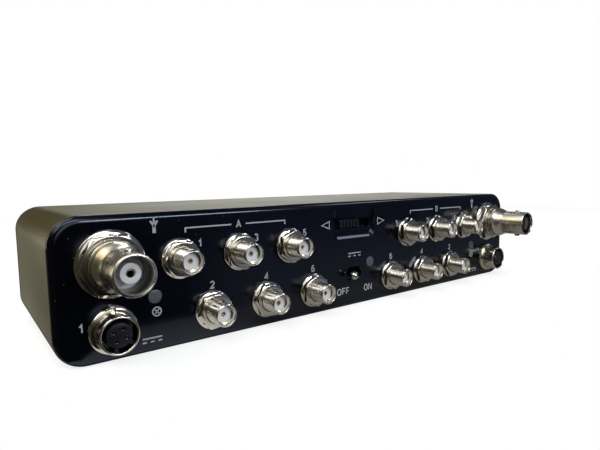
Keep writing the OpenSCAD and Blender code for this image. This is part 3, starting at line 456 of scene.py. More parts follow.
def make_front_panel():
    """Glossy panel: rounded edge, dished recess with the slide's slot, toggle opening and jack holes."""
    shape = Shape()
    edge = rounded_outline(CASE_W, CASE_H, CORNER_R, arc=24)
    plug = SLEEVE_WALL + PLUG_GAP
    section = [(plug, -PANEL_T), (plug, -PANEL_D), (0.2, -PANEL_D), (0.0, -PANEL_D + 0.2)]
    section += [(EDGE_STRETCH * inset, depth) for inset, depth in quarter_round(EDGE_R, 14)]
    section.append((EDGE_STRETCH * EDGE_R + 0.06, 0.0))
    sides = shape.skin([outline_ring(edge, i, d, (0.0, CASE_H / 2)) for i, d in section])

    # Dished recess, which rises more slowly towards its top, and its floor with the slot
    dish = [(-0.06, 0.0), (0.0, 0.0), (0.05, -0.015), (0.12, -0.06), (0.25, -0.155), (0.50, -0.35),
            (0.75, -0.53), (1.00, -0.68), (1.30, -0.82), (1.65, -0.92), (2.05, -0.98), (2.40, -1.0),
            (2.60, -1.01)]
    run_out, side_share, corner_share = 4.1, 0.8, 0.6
    rings = []
    for inset, depth in dish:
        low, high = RECESS_LOW + inset, RECESS_HIGH + min(run_out * depth, -inset)
        width, corner = RECESS_W - side_share * inset, RECESS_R - corner_share * inset
        outline = rounded_outline(width, high - low, corner, arc=14, ease=0.3)
        rings.append(outline_ring(outline, 0.0, max(depth, -RECESS_D), (0.0, (low + high) / 2)))
    dished = shape.skin(rings)
    slot = rounded_outline(SLOT_W, SLOT_H, SLOT_R, arc=6, ease=0.1)
    wall = [(-0.2, -RECESS_D), (-0.1, -RECESS_D), (-0.02, -RECESS_D - 0.03), (0.0, -RECESS_D - 0.12),
            (0.0, -PANEL_T)]
    slots = shape.skin([outline_ring(slot, i, d, (0.0, SLIDE_Z)) for i, d in wall])
    shape.plate(dished[-1], [slots[0]])

    # Toggle opening with its rounded lip
    hole = rounded_outline(TOGGLE_HOLE_W, TOGGLE_HOLE_H, TOGGLE_HOLE_R, arc=18, ease=0.02)
    lip = [(-0.33, 0.0), (-0.25, 0.0), (-0.12, -0.03), (-0.03, -0.12), (0.0, -0.25), (0.0, -PANEL_T)]
    holes = shape.skin([outline_ring(hole, i, d, (TOGGLE_X, TOGGLE_Z)) for i, d in lip])

    # Holes for the jacks and lights, and the flat faces around all of them
    drilled = [(place, SMA_HOLE_R) for end in ENDS for place in sma_places(end)]
    drilled += [((side * BNC_X, BNC_Z), BNC_HOLE_R) for side in ENDS.values()]
    drilled += [((side * DC_X, DC_Z), DC_HOLE_R) for side in ENDS.values()]
    drilled += [((x, LED_Z), LED_R + LED_GAP) for x in LEDS.values()]
    bore = [(0.0, 0.0), (0.1, -0.1), (0.1, -PANEL_T)]
    bores = [shape.skin([circle(r - i, d, 40, middle=place) for i, d in bore]) for place, r in drilled]
    shape.plate(sides[-1], [dished[0], holes[0]] + [rings[0] for rings in bores])
    shape.plate(sides[0], [slots[-1], holes[-1]] + [rings[-1] for rings in bores])
    make_piece("glossy_panel", shape, GLOSS_BLACK, "black_panel", stands_for=["front_panel"],
               sharp=FINE_CREASE)


def make_sleeve():
    """Extruded sleeve with a fine arris and a shadow groove at each end."""
    outline = rounded_outline(CASE_W, CASE_H, CORNER_R, arc=28)
    start = [(SLEEVE_WALL, 0.0), (GROOVE_D, 0.0), (GROOVE_D, GROOVE_W), (0.12, GROOVE_W),
             (0.03, GROOVE_W + 0.04), (0.0, GROOVE_W + 0.15)]
    section = [(inset, SLEEVE_FRONT + run) for inset, run in start]
    section += [(inset, SLEEVE_REAR - run) for inset, run in reversed(start)]
    rings = [outline_ring(outline, inset, y, (0.0, CASE_H / 2)) for inset, y in section]
    shape = Shape()
    shape.skin([[(x, y, z) for x, z, y in ring] for ring in rings], loop=True)
    make_piece("bronze_sleeve", shape, BRONZE, "bronze_sleeve", stands_for=["case_sleeve"],
               stand=Matrix.Identity(4), sharp=FINE_CREASE)


def make_rear_panel():
    """Rear plate with a rounded edge and four counterbores."""
    shape = Shape()
    edge = rounded_outline(CASE_W, CASE_H, CORNER_R, arc=24)
    section = [(0.2, -REAR_T), (0.0, -REAR_T + 0.2)] + quarter_round(REAR_EDGE_R, 8)
    section.append((REAR_EDGE_R + 0.05, 0.0))
    sides = shape.skin([outline_ring(edge, i, d, (0.0, CASE_H / 2)) for i, d in section])
    bore = [(2.55, 0.0), (2.38, -0.12), (2.35, -0.25), (2.35, -1.4), (1.4, -1.4), (1.4, -REAR_T)]
    bores = [shape.skin([circle(r, d, 40, middle=(x, z)) for r, d in bore])
             for x in (-SCREW_X, SCREW_X) for z in (SCREW_INSET, CASE_H - SCREW_INSET)]
    shape.plate(sides[-1], [rings[0] for rings in bores])
    shape.plate(sides[0], [rings[-1] for rings in bores])
    make_piece("rear_plate", shape, REAR_BLACK, "black_panel", stands_for=["rear_panel"], stand=ON_REAR,
               sharp=FINE_CREASE)


def make_tie_screws():
    """Socket-head screws, seen in the rear plate's counterbores."""
    steps, key_half = 48, 0.75
    angles = [2 * pi * i / steps for i in range(steps)]
    key = [key_half / cos(a % (pi / 3) - pi / 6) for a in angles]

    def keyed(grow, depth):
        return [((r + grow) * cos(a), (r + grow) * sin(a), depth) for r, a in zip(key, angles)]

    socket = [keyed(0.0, -0.8), keyed(0.0, -0.12), keyed(0.12, 0.0)]
    head = [(1.75, 0.0), (2.05, -0.08), (2.2, -0.3), (2.2, -1.4), (1.25, -1.4), (1.25, -57.5), (0.9, -58.0)]
    screw = Shape()
    screw.skin(socket + [circle(r, d, steps) for r, d in head], capped=True)
    shape = Shape()
    # No two screws stop at the same turn
    for x in (-SCREW_X, SCREW_X):
        for i, z in enumerate((SCREW_INSET, CASE_H - SCREW_INSET)):
            shape.add(screw, at(x, z, turn=17 * i + x / 4))
    make_piece("tie_screw_heads", shape, TIN, "tin", stands_for=["tie_screws"], stand=ON_REAR)


# Jacks, as profiles of (radius, depth)


def crease_of(kind):
    """Nuts have finer creases than the other pieces of a jack."""
    return NUT_CREASE if kind.startswith("nut") else CREASE


def make_sma_group(end):
    """Six threaded outputs: shells with a fine thread, nuts, lock washers, insulators and contacts."""
    steps, bore_r, washer_t = 56, 3.2, 1.0
    mouth = [(2.3, FOOT_DEPTH), (2.3, 6.4), (2.6, 6.4), (2.6, 8.0), (2.65, 8.18), (2.74, 8.28), (2.82, 8.3),
             (2.9, 8.27)]
    thread = threaded_rings(r=3.175, start=2.2, stop=8.0, pitch=0.7056, height=0.2, steps=steps)
    root = [(2.975, 2.0), (2.975, -3.0), (4.6, -3.0), (4.6, -4.5), (3.5, -4.5), (3.5, FOOT_DEPTH)]
    shell = Shape()
    shell.skin([circle(r, d, steps) for r, d in mouth] + thread + [circle(r, d, steps) for r, d in root],
               loop=True)
    nut = hexagon_nut(across=9.4, thick=1.6, bore_r=bore_r, seat=washer_t, land=0.25)
    washer = lock_washer(r=5.5, thick=washer_t, bore_r=bore_r, gap_r=4.85, teeth=10)
    core = turned([(0.67, FOOT_DEPTH), (0.67, 6.25), (0.78, 6.4), (2.15, 6.4), (2.25, 6.36), (2.28, 6.25),
                   (2.28, FOOT_DEPTH)], 48)
    pin = turned([(0.4, 5.75), (0.42, 6.2), (0.5, 6.36), (0.58, 6.4), (0.64, 6.3), (0.64, TAIL_DEPTH),
                  (0.3, TAIL_DEPTH)], 32, capped=True)
    # Each piece with its finish, its slot, and how far it is turned from one output to the next
    kinds = [
        ("shells", shell, THREAD_NICKEL, "nickel", 0),
        ("nuts", nut, NICKEL, "nickel", 43),
        ("washers", washer, NICKEL, "nickel", 29),
        ("insulators", core, INSULATOR, "white_insulator", 0),
        ("contacts", pin, GOLD, "gold_contact", 0),
    ]
    for kind, one, finish, slot, turn in kinds:
        shape = Shape()
        for i, (x, z) in enumerate(sma_places(end)):
            shape.add(one, at(x, z, turn * i))
        make_piece(f"output_{kind}_{end}", shape, finish, slot, stands_for=[f"sma_{kind}_{end}"],
                   sharp=crease_of(kind))


def make_bnc(end):
    """Bayonet input: threaded root, domed shoulder, barrel with two lugs, darker liner in the bore as painted
    shade, insulator, contact.
    """
    steps, bore_r, washer_t, lug_depth = 96, 6.03, 1.2, 15.0
    barrel_r, shoulder_r, dome_start, dome_end, dome_steps = 4.85, 6.2, 6.2, 10.6, 16
    mouth = [(3.2, FOOT_DEPTH), (3.2, 9.5), (4.15, 9.5), (4.15, 18.7), (4.2, 18.95), (4.32, 19.2),
             (4.42, 19.3), (4.62, 19.28), (4.76, 19.18), (4.83, 19.0), (barrel_r, 18.8)]
    dome = [(barrel_r + (shoulder_r - barrel_r) * (1 - cos(pi * i / dome_steps)) / 2,
             dome_end + (dome_start - dome_end) * i / dome_steps) for i in range(dome_steps + 1)]
    shoulder = [(6.17, 6.0), (6.1, 5.82), (5.96, 5.7), (5.3, 5.6), (5.3, 4.5), (5.6, 4.4)]
    thread = threaded_rings(r=6.0, start=3.0, stop=4.35, pitch=0.79, height=0.42, steps=steps)
    root = [(6.0, 2.9), (6.0, -3.0), (6.8, -3.0), (6.8, -4.6), (6.0, -4.6), (6.0, FOOT_DEPTH)]
    shell = Shape()
    shell.skin([circle(r, d, steps) for r, d in mouth + dome + shoulder] + thread
               + [circle(r, d, steps) for r, d in root], loop=True)
    lug = turned([(1.0, 4.5), (1.0, 5.3), (0.94, 5.42), (0.8, 5.5)], 32, capped=True)
    for turn in (90, -90):
        shell.add(lug, Matrix.Translation((0, 0, lug_depth)) @ Matrix.Rotation(radians(turn), 4, "X"))
    nut = hexagon_nut(across=14.5, thick=2.2, bore_r=bore_r, seat=washer_t, land=0.1, steps=120)
    washer = lock_washer(r=8.5, thick=washer_t, bore_r=bore_r, gap_r=7.45, teeth=12)
    core = turned([(0.98, FOOT_DEPTH), (0.98, 15.75), (1.2, 16.0), (2.2, 16.0), (2.32, 15.95), (2.35, 15.8),
                   (2.35, 12.1), (2.45, 12.0), (4.0, 12.0), (4.1, 11.9), (4.1, 9.52), (3.17, 9.5),
                   (3.17, FOOT_DEPTH)], 64)
    pin = turned([(0.58, 9.5), (0.58, 15.5), (0.64, 15.72), (0.75, 15.84), (0.87, 15.82), (0.95, 15.65),
                  (0.95, TAIL_DEPTH), (0.4, TAIL_DEPTH)], 40, capped=True)
    # Painted shade: a thin dark liner over the bore's wall
    shade_liner = turned([(4.11, 12.02), (4.11, 18.55), (4.13, 18.62), (4.145, 18.62), (4.145, 12.02)], steps)
    # Each piece with its finish, its slot and its turn; the shade liner is painted shade in the bore, for
    # looks alone, and stands for no solid
    kinds = [
        ("shell", shell, SATIN_NICKEL, "nickel", 0),
        ("nut", nut, NICKEL, "nickel", 3),
        ("washer", washer, NICKEL, "nickel", 5),
        ("insulator", core, INSULATOR, "white_insulator", 0),
        ("contact", pin, BRASS, "gold_contact", 0),
        ("shade_liner", shade_liner, BORE_SHADE_NICKEL, "nickel", 0),
    ]
    for kind, one, finish, slot, turn in kinds:
        shape = Shape()
        shape.add(one, at(ENDS[end] * BNC_X, BNC_Z, turn))
        stands_for = [] if kind == "shade_liner" else [f"bnc_{kind}_{end}"]
        make_piece(f"input_{kind}_{end}", shape, finish, slot, stands_for=stands_for, sharp=crease_of(kind))


def make_dc(end):
    """Round power socket: shell, ring nut with spanner slots, keyed insert with four contacts."""
    shell = turned([(3.6, FOOT_DEPTH), (3.6, 0.6), (4.2, 0.6), (4.2, 6.35), (4.27, 6.52), (4.4, 6.6),
                    (4.5, 6.6), (4.68, 6.52), (4.78, 6.36), (4.8, 6.2), (4.8, -3.0), (5.3, -3.0),
                    (5.3, -4.5), (4.8, -4.5), (4.8, FOOT_DEPTH)], 80)
    steps, spanner_half = 120, 0.42

    def slotted(r, depth, cut):
        """A ring of the nut that drops into the two spanner slots, at the top and the bottom."""
        return [(x, y, d - (cut if abs(x) < spanner_half else 0.0)) for x, y, d in circle(r, depth, steps)]

    slotted_face = [(4.83, 1.8, 0.6), (4.95, 1.9, 0.7), (5.5, 1.9, 0.7), (5.72, 1.75, 0.55), (5.92, 1.5, 0.3),
                    (6.0, 1.35, 0.2)]
    nut = Shape()
    nut.skin([circle(4.83, 0.0, steps), *[slotted(r, depth, cut) for r, depth, cut in slotted_face],
              circle(6.0, 0.1, steps), circle(5.9, 0.0, steps)], loop=True)

    # Insert with four contact holes, and the contacts in them
    insert, pins = Shape(), Shape()
    face = [(3.57, FOOT_DEPTH), (3.57, 0.6), (3.1, 0.6), (3.1, 6.05), (3.04, 6.22), (2.9, 6.3)]
    hole = [(0.66, 6.3), (0.56, 6.22), (0.53, 6.1), (0.53, FOOT_DEPTH)]
    tube = [(0.3, 1.0), (0.3, 5.75), (0.38, 5.92), (0.44, 5.95), (0.5, 5.85), (0.5, TAIL_DEPTH),
            (0.2, TAIL_DEPTH)]
    contact_r, contact_turns = 1.67, (60, 150, 240, 330)
    middles = [(contact_r * cos(radians(a)), contact_r * sin(radians(a))) for a in contact_turns]
    rim = insert.skin([circle(r, d, 72) for r, d in face])
    holes = [insert.skin([circle(r, d, 28, middle=m) for r, d in hole]) for m in middles]
    for m in middles:
        pins.skin([circle(r, d, 24, middle=m) for r, d in tube], capped=True)
    insert.plate(rim[-1], [rings[0] for rings in holes])
    insert.plate(rim[0], [rings[-1] for rings in holes])

    # Two keys across the gap between insert and shell
    flank = [(2.9, -0.5), (2.9, 0.5), (4.05, 0.5), (4.15, 0.4), (4.17, 0.0), (4.15, -0.4), (4.05, -0.5)]
    rings = [[(x, y, depth) for x, y in flank] for depth in (0.6, 5.4)]
    rings.append([(min(x, 4.1), 0.9 * y, 5.5) for x, y in flank])
    key = Shape()
    key.skin(rings, capped=True)
    for turn in (-100, -40):
        insert.add(key, Matrix.Rotation(radians(turn), 4, "Z"))

    kinds = [
        ("shell", shell, NICKEL, "nickel"),
        ("nut", nut, NICKEL, "nickel"),
        ("insert", insert, BLACK_PLASTIC, "black_plastic"),
        ("contacts", pins, BRASS, "gold_contact"),
    ]
    for kind, one, finish, slot in kinds:
        shape = Shape()
        shape.add(one, at(ENDS[end] * DC_X, DC_Z))
        make_piece(f"power_{kind}_{end}", shape, finish, slot, stands_for=[f"dc_{kind}_{end}"])


# Lights and switches


def make_light_window(name, x):
    """Frosted window, slightly domed, with the light pipe behind it."""
    window = turned([(0.2, 0.0), (0.5, -0.005), (1.0, -0.02), (1.45, -0.05), (1.7, -0.1), (1.82, -0.2),
                     (LED_R, -0.35), (LED_R, -3.0), (2.4, -3.0), (2.4, -4.0), (1.5, -4.0), (1.5, -10.5)],
                    48, capped=True)
    shape = Shape()
    shape.add(window, at(x, LED_Z))
    make_piece(f"{name}_lens", shape, SMOKE, "smoke_window", stands_for=[name])


def make_toggle():
    """Ball-ended lever on its hub, leaning to its off side."""
    ball_r, ball_at, ball_steps, neck_step = 1.5, 10.5, 24, 5
    stem = [(0.55, -2.3), (0.7, -2.15), (0.7, -1.2), (1.1, 0.0), (0.95, 7.5), (0.9, 8.6), (0.86, 9.0)]
    turns = [pi * i / ball_steps for i in range(neck_step, ball_steps)]
    bulb = [(ball_r * sin(t), ball_at - ball_r * cos(t)) for t in turns]
    lever = turned(stem + bulb, 40, capped=True)
    hub = turned([(0.65, -1.7), (0.65, 1.7), (1.55, 1.7), (1.7, 1.55), (1.7, -1.55), (1.55, -1.7)], 40)
    shape = Shape()
    pivot = Matrix.Translation((TOGGLE_X, TOGGLE_Z, -TOGGLE_DEPTH))
    shape.add(lever, pivot @ Matrix.Rotation(radians(-TOGGLE_LEAN), 4, "Y"))
    shape.add(hub, pivot @ Matrix.Rotation(radians(90), 4, "X"))
    make_piece("toggle_ball_lever", shape, NICKEL, "nickel", body="toggle", stands_for=["toggle_lever"])


def make_slide_knob():
    """Knob with rounded ridges across it, on its stem."""
    pitch, front, root, samples = KNOB_W / KNOB_RIDGES, 0.3, -2.8, 132
    end_round, end_drop, side_draw = 0.25, 0.2, 0.08
    groove_d, groove_half, plain_end = 0.6, 0.34, 0.6 * pitch
    stem_w, stem_h, stem_root = 4, 2, -6.0
    rings = []
    for i in range(samples + 1):
        x = -KNOB_W / 2 + KNOB_W * i / samples
        edge = min(1.0, (KNOB_W / 2 - abs(x)) / end_round)
        turn = (x / pitch) % 1.0
        away = min(turn, 1 - turn) * pitch
        ridged = abs(x) < KNOB_W / 2 - plain_end
        groove = groove_d * max(0.0, 1 - (away / groove_half) ** 2) if ridged else 0.0
        top = front - groove - end_drop * (1 - sqrt(max(0.0, 1 - (1 - edge) ** 2)))
        half = KNOB_H / 2 - side_draw * (1 - edge)
        side = [(half, root), (half, top - 0.28), (half - 0.08, top - 0.1), (half - 0.26, top)]
        rings.append([(x, -y, d) for y, d in side] + [(x, y, d) for y, d in reversed(side)])
    knob = Shape()
    knob.skin(rings, capped=True)
    sx, sy = stem_w / 2, stem_h / 2
    stem = [(-sx, -sy), (sx, -sy), (sx, sy), (-sx, sy)]
    knob.skin([[(x, y, d) for x, y in stem] for d in (stem_root, root)], capped=True)
    shape = Shape()
    shape.add(knob, at(KNOB_X, SLIDE_Z))
    make_piece("ribbed_slide_knob", shape, BLACK_PLASTIC, "black_plastic", body="selector",
               stands_for=["slide_knob"], sharp=KNOB_CREASE)


def make_slot_sheet():
    """Thin matt black sheet at the bottom of the slide's slot, with a well that the knob's stem runs in:
    painted shade that keeps the slot dark around the knob.
    """
    gap, well_w, well_h, well_wall = 0.1, 9.24, 2.44, 0.05
    front, fold, back, floor, under = -2.91, -2.94, -2.99, -6.2, -6.27
    outer = rounded_outline(SLOT_W - gap, SLOT_H - gap, 0.3, arc=6, ease=0.1)
    inner = rounded_outline(well_w, well_h, 0.2, arc=6, ease=0.1)
    shape = Shape()

    def skin(outline, section):
        return shape.skin([outline_ring(outline, inset, d, (0.0, SLIDE_Z)) for inset, d in section])

    rim = skin(outer, [(0.0, back), (0.0, fold), (0.04, front)])
    well = skin(inner, [(-0.04, front), (0.0, fold), (0.0, floor)])
    outside = skin(inner, [(-well_wall, back), (-well_wall, under)])
    shape.plate(rim[-1], [well[0]])
    shape.plate(rim[0], [outside[0]])
    shape.plate(well[-1], [])
    shape.plate(outside[-1], [])
    make_piece("slot_shade_sheet", shape, SHADE_SHEET_BLACK, "black_plastic")


# Print on the panel

PRINT_LIFT, PRINT_THICK, FINE_THICK, CROSS_THICK = 0.012, 0.4, 0.34, 0.3
DIGIT_H, SOCKET_DIGIT_H, WORD_H, LETTER_GAP = 2.3, 2.4, 2.5, 0.14
MITRE_LIMIT = 0.45
# Places of the signs; those that come at both ends are given for end b
DIGIT_SHIFT, UPPER_DIGIT_Z, LOWER_DIGIT_Z = 5.7, 26.6, 14.4
GROUP_AT, ANTENNA_AT, LAMP_AT = (46.2, 32.2), (71.1, 31.5), (71.3, 10.8)
SOCKET_DIGIT_AT, SOCKET_SUPPLY_AT, SWITCH_SUPPLY_AT = (89.9, 8.7), (72.8, 3.0), (0.0, 17.8)
OFF_AT, ON_AT = (-5.4, 4.5), (6.6, 4.4)
ARROW_BASE, ARROW_TIP, ARROW_Z, ARROW_HALF = 11.6, 14.9, 29.4, 1.25


def bow(cx, cy, rx, ry, start, stop, steps=12):
    """Points along an arc of an ellipse, from one angle in degrees to another."""
    turns = [radians(start + (stop - start) * i / steps) for i in range(steps + 1)]
    return [(cx + rx * cos(t), cy + ry * sin(t)) for t in turns]


# Width and strokes of each sign, for a height of 1
SIGNS = {
    "1": (0.36, [[(0.02, 0.72), (0.2, 0.82), (0.3, 0.98), (0.3, 0.0)]]),
    "2": (0.62, [bow(0.31, 0.71, 0.28, 0.29, 165, -38) + [(0.04, 0.0), (0.62, 0.0)]]),
    "3": (0.62, [bow(0.3, 0.755, 0.25, 0.245, 155, -90) + bow(0.3, 0.255, 0.29, 0.255, 90, -155)]),
    "4": (0.66, [[(0.48, 0.0), (0.48, 1.0), (0.02, 0.28), (0.66, 0.28)]]),
    "5": (0.62, [[(0.56, 1.0), (0.15, 1.0), (0.09, 0.5)] + bow(0.31, 0.33, 0.29, 0.33, 128, -150)]),
    "6": (0.62, [bow(0.31, 0.31, 0.28, 0.31, 0, 360, 20), bow(0.35, 0.5, 0.32, 0.5, 62, 190)]),
    "A": (0.74, [[(0.0, 0.0), (0.37, 1.0), (0.74, 0.0)], [(0.14, 0.32), (0.6, 0.32)]]),
    "B": (0.64, [[(0.34, 0.53), (0.06, 0.53), (0.06, 1.0), (0.34, 1.0)]
                 + bow(0.34, 0.765, 0.24, 0.235, 90, -90, 8),
                 [(0.06, 0.53), (0.06, 0.0), (0.34, 0.0)] + bow(0.36, 0.265, 0.28, 0.265, -90, 90, 8)]),
    "F": (0.56, [[(0.0, 0.0), (0.0, 1.0), (0.56, 1.0)], [(0.0, 0.5), (0.48, 0.5)]]),
    "N": (0.66, [[(0.0, 0.0), (0.0, 1.0), (0.66, 0.0), (0.66, 1.0)]]),
    "O": (0.76, [bow(0.38, 0.5, 0.38, 0.5, 0, 360, 24)]),
}


def stroke(shape, points, thick=PRINT_THICK):
    """A printed stroke of even thickness through points, mitred at its bends.

    A path that comes back to its start is closed.
    """
    closed = hypot(points[0][0] - points[-1][0], points[0][1] - points[-1][1]) < 1e-6
    path = [Vector(p) for p in (points[:-1] if closed else points)]
    last = len(path) - 1
    left, right = [], []
    for i, p in enumerate(path):
        before = path[i - 1] if i or closed else None
        after = path[(i + 1) % len(path)] if i < last or closed else None
        ways = ([p - before] if before else []) + ([after - p] if after else [])
        ways = [way.normalized() for way in ways]
        along = sum(ways, Vector((0.0, 0.0))).normalized()
        reach = thick / 2 / max(MITRE_LIMIT, along.dot(ways[0]))
        side = Vector((-along.y, along.x)) * reach
        left.append((*(p + side), PRINT_LIFT))
        right.append((*(p - side), PRINT_LIFT))
    left, right = shape.ring(left), shape.ring(right)
    for i in range(last + 1 if closed else last):
        k = (i + 1) % len(path)
        shape.faces.append((right[i], right[k], left[k], left[i]))


def letter(shape, word, x, z, height):
    """Plain stroke lettering of a height over all, centred on x and standing on z."""
    tall = height - PRINT_THICK
    gap = LETTER_GAP * tall + PRINT_THICK
    widths = [SIGNS[sign][0] * tall for sign in word]
    start = x - (sum(widths) + gap * (len(word) - 1)) / 2
    for sign, width in zip(word, widths):
        for path in SIGNS[sign][1]:
            stroke(shape, [(start + px * tall, z + PRINT_THICK / 2 + pz * tall) for px, pz in path])
        start += width + gap


def supply_sign(shape, x, z, width):
    """A straight line over a broken one, for a direct-current supply."""
    dash, line_z = width / 5, z + 1.0
    stroke(shape, [(x - width / 2, line_z), (x + width / 2, line_z)])
    for i in (-2, 0, 2):
        stroke(shape, [(x + (i - 0.5) * dash, z), (x + (i + 0.5) * dash, z)])


def lamp_sign(shape, x, z, r):
    """A ring with a cross in it, for an indicator light."""
    stroke(shape, bow(x, z, r, r, 0, 360, 24), FINE_THICK)
    for turn in (45, 135):
        dx, dz = r * cos(radians(turn)), r * sin(radians(turn))
        stroke(shape, [(x - dx, z - dz), (x + dx, z + dz)], CROSS_THICK)


def antenna_sign(shape, x, z):
    """An antenna: a stout mast with two arms and a tip."""
    arm, fork_z, arm_z = 0.95, z + 1.75, z + 3.2
    stroke(shape, [(x, z), (x, z + 1.9)], thick=0.85)
    stroke(shape, [(x - arm, arm_z), (x, fork_z), (x + arm, arm_z)], thick=0.5)
    stroke(shape, [(x, z + 1.8), (x, z + 3.9)], thick=0.45)


def group_line(shape, name, x, z):
    """A line over one end's outputs, turned down at both ends and broken by the end's letter."""
    reach, gap, drop = 16.4, 2.4, 1.2
    letter(shape, name, x, z - DIGIT_H / 2, DIGIT_H)
    for way in (-1, 1):
        stroke(shape, [(x + way * gap, z), (x + way * reach, z), (x + way * reach, z - drop)])


def at_end(side, place):
    """A place that is given for end b, mirrored where the side is the other one."""
    return side * place[0], place[1]


def make_print():
    """Port numbers, switch words, triangles, antenna, lamp and supply signs, a line over each group."""
    shape = Shape()
    for number, (end, side) in enumerate(ENDS.items(), 1):
        for i in range(3):
            x = side * (SMA_X - i * SMA_PITCH)
            letter(shape, str(2 * i + 1), x - side * DIGIT_SHIFT, UPPER_DIGIT_Z, DIGIT_H)
            letter(shape, str(2 * i + 2), x - side * SMA_STAGGER, LOWER_DIGIT_Z, DIGIT_H)
        group_line(shape, end.upper(), *at_end(side, GROUP_AT))
        antenna_sign(shape, *at_end(side, ANTENNA_AT))
        # Signs beside the power socket and under the light
        letter(shape, str(number), *at_end(side, SOCKET_DIGIT_AT), SOCKET_DIGIT_H)
        supply_sign(shape, *at_end(side, SOCKET_SUPPLY_AT), width=5.2)
        lamp_sign(shape, *at_end(side, LAMP_AT), r=1.15)
        # Triangle that points to this group
        base, tip, half = side * ARROW_BASE, side * ARROW_TIP, side * ARROW_HALF
        corners = [(base, ARROW_Z - half), (tip, ARROW_Z), (base, ARROW_Z + half)]
        stroke(shape, corners + corners[:1], FINE_THICK)
    supply_sign(shape, *SWITCH_SUPPLY_AT, width=6.0)
    letter(shape, "OFF", *OFF_AT, WORD_H)
    letter(shape, "ON", *ON_AT, WORD_H)
    make_piece("panel_print", shape, INK, "white_insulator", solid=False)


# Stage, light and camera


def shown_to(tree, mirrored):
    """1 for the camera, and as much as mirrored says for metal and glass."""
    path = node(tree, "ShaderNodeLightPath").outputs
    clear = reckon(tree, "MAXIMUM", path["Is Glossy Ray"], path["Is Transmission Ray"])
    return reckon(tree, "MAXIMUM", path["Is Camera Ray"], reckon(tree, "MULTIPLY", clear, mirrored))


# Outline of the table in metres, cut short ahead of the panel, and how white it shows
TABLE_RIM = [(-0.11, 0.5), (-0.11, -0.031), (-0.094, -0.031), (-0.074, -0.055), (0.6, -0.055), (0.6, 0.5)]
TABLE_WHITE = 0.78


def make_stage():
    """Small table that shows white to the camera and keeps the part's shadow.

    In mirrors it glows pale ahead of the panel, most of all at the near end, and fades away from it: a
    painted reflection that lightens the lower part of the panel's near end.
    """
    mesh = bpy.data.meshes.new("table")
    mesh.from_pydata([(x, y, 0) for x, y in TABLE_RIM], [], [range(len(TABLE_RIM))])
    table = bpy.data.objects.new("table", mesh)
    bpy.context.scene.collection.objects.link(table)
    finish = bpy.data.materials.new("pale_table")
    finish.use_nodes = True
    tree = finish.node_tree
    bsdf = tree.nodes["Principled BSDF"].inputs
    bsdf["Base Color"].default_value = (0.39, 0.365, 0.33, 1)
    bsdf["Roughness"].default_value = 0.9
    bsdf["Emission Color"].default_value = (0.96, 0.98, 1.0, 1)
    place = node(tree, "ShaderNodeTexCoord").outputs["Object"]
    split = node(tree, "ShaderNodeSeparateXYZ", {"Vector": place}).outputs
    panel_y = FRONT_Y * MM
    close = spread(tree, split["Y"], panel_y - 0.027, panel_y)
    near_end = spread(tree, split["X"], -0.036, -0.056, low=0.04, high=0.8)
    ahead = reckon(tree, "LESS_THAN", split["Y"], panel_y)
    # Painted reflection: the table glows only for mirrors, in a patch ahead of the panel's near end
    pale = reckon(tree, "MULTIPLY", reckon(tree, "MULTIPLY", close, near_end), ahead)
    tree.links.new(reckon(tree, "MULTIPLY", shown_to(tree, pale), TABLE_WHITE), bsdf["Emission Strength"])
    mesh.materials.append(finish)


def make_world():
    """White for the camera, and behind the part for metal and glass; a dim room around, olive to the left."""
    world = bpy.data.worlds.new("studio")
    bpy.context.scene.world = world
    world.use_nodes = True
    tree = world.node_tree
    place = node(tree, "ShaderNodeTexCoord").outputs["Generated"]
    split = node(tree, "ShaderNodeSeparateXYZ", {"Vector": place}).outputs

    def along(axis, start, stop):
        """0 to 1 as directions turn along an axis."""
        return spread(tree, split[axis], start, stop)

    def towards(x, y, z, start, stop):
        """0 to 1 as directions come closer to one of them."""
        made = node(tree, "ShaderNodeVectorMath", {0: place, 1: (x, y, z)}, operation="DOT_PRODUCT")
        return spread(tree, made.outputs["Value"], start, stop)

    def both(one, other):
        return reckon(tree, "MULTIPLY", one, other)

    room = blend(tree, along("X", 0.2, 0.5), (0.004, 0.004, 0.005, 1), (0.066, 0.080, 0.125, 1))
    low_right = both(both(along("X", 0.38, 0.5), along("Z", -0.09, -0.18)), along("Z", -0.38, -0.26))
    ceiling = both(along("X", 0.35, -0.1), along("Z", 0.3, 0.75))
    behind = towards(0.62, 0.785, 0.0, 0.87, 0.96)
    zones = [
        (low_right, (0.22, 0.235, 0.29)),
        (along("X", -0.1, -0.6), (0.050, 0.042, 0.030)),
        (along("Y", 0.1, 0.6), (0.075, 0.066, 0.045)),
        (ceiling, (0.36, 0.375, 0.40)),
        (towards(-0.46, 0.74, 0.49, 0.86, 0.97), (0.24, 0.205, 0.12)),
        (towards(-0.1, -0.94, 0.32, 0.90, 0.97), (0.19, 0.17, 0.09)),
        (behind, (0.7, 0.7, 0.7)),
        (shown_to(tree, behind), (1.0, 1.0, 1.0)),
    ]
    for mask, colour in zones:
        room = lay_over(tree, room, mask, colour)
    tree.links.new(room, tree.nodes["Background"].inputs["Color"])


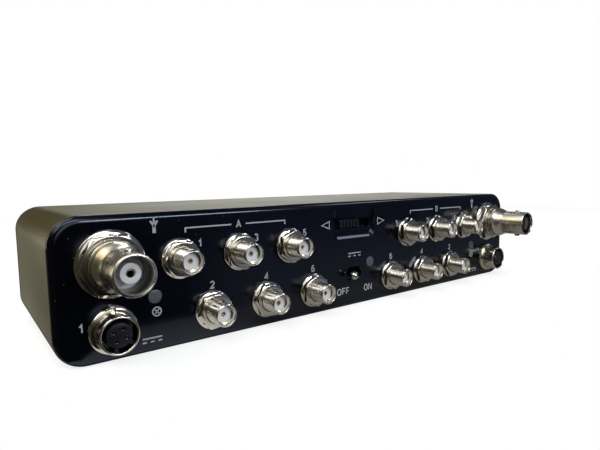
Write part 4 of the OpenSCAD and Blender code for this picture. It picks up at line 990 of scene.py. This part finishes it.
# Soft lamps: place, aim and size in metres, power in watts, colour
SOFTBOXES = {
    "overhead": ((-0.38, 0.02, 0.74), (-0.04, 0, 0), (0.6, 0.5), 1.7, (0.96, 0.98, 1.0)),
    "side_window": ((-0.55, -0.30, 0.55), (0, 0, 0.02), (0.45, 0.3), 0.95, (0.97, 0.98, 1.0)),
    "back_window": ((0.28, 0.55, 0.70), (0, 0, 0.02), (0.5, 0.16), 1.3, (0.96, 0.98, 1.0)),
    "front_strip": ((-0.15, -0.62, 0.66), (0, 0, 0.02), (0.5, 0.11), 1.35, (0.90, 0.95, 1.0)),
    "lip_lamp": ((0.64, -0.32, 0.62), (0, -0.03, 0.02), (0.3, 0.11), 0.45, (0.95, 0.97, 1.0)),
    "front_lamp": ((0.28, -0.87, 0.33), (-0.05, -0.03, 0.02), (0.42, 0.09), 2.6, (0.97, 0.98, 1.0)),
    "left_lamp": ((-0.58, 0.69, 0.09), (-0.09, 0, 0.02), (0.3, 0.3), 0.62, (1.0, 0.95, 0.72)),
    "warm_lamp": ((-0.42, 0.30, 0.46), (-0.06, -0.02, 0.02), (0.32, 0.32), 0.5, (1.0, 0.83, 0.52)),
    "broad_front": ((-0.08, -0.95, 0.36), (-0.06, -0.03, 0.02), (0.6, 0.55), 1.3, (0.97, 0.98, 1.0)),
}


def add_softbox(name, place, aim, size, power, colour):
    """A rectangular soft lamp that points at a place."""
    lamp = bpy.data.lights.new(name, "AREA")
    lamp.shape = "RECTANGLE"
    lamp.size, lamp.size_y = size
    lamp.energy = power
    lamp.color = colour
    holder = bpy.data.objects.new(name, lamp)
    bpy.context.scene.collection.objects.link(holder)
    holder.location = place
    holder.rotation_euler = (Vector(aim) - Vector(place)).to_track_quat("-Z", "Y").to_euler()


def make_camera():
    """The photograph's viewing angle, fitted to the panel's corners and jacks."""
    lens = bpy.data.cameras.new("photo_view")
    lens.sensor_width = 36.0
    lens.lens = 27.894
    lens.clip_start = 0.01
    camera = bpy.data.objects.new("photo_view", lens)
    bpy.context.scene.collection.objects.link(camera)
    camera.location = (-0.112811, -0.149249, 0.044562)
    camera.rotation_euler = [radians(a) for a in (84.49679, 0.83005, -37.02517)]
    bpy.context.scene.camera = camera


make_camera()
make_front_panel()
make_sleeve()
make_rear_panel()
make_tie_screws()
for end_name in ENDS:
    make_sma_group(end_name)
    make_bnc(end_name)
    make_dc(end_name)
for window_name, window_x in LEDS.items():
    make_light_window(window_name, window_x)
make_toggle()
make_slide_knob()
make_slot_sheet()
make_print()
make_stage()
make_world()
for lamp_name, lamp in SOFTBOXES.items():
    add_softbox(lamp_name, *lamp)
bpy.context.scene.view_settings.view_transform = "Standard"
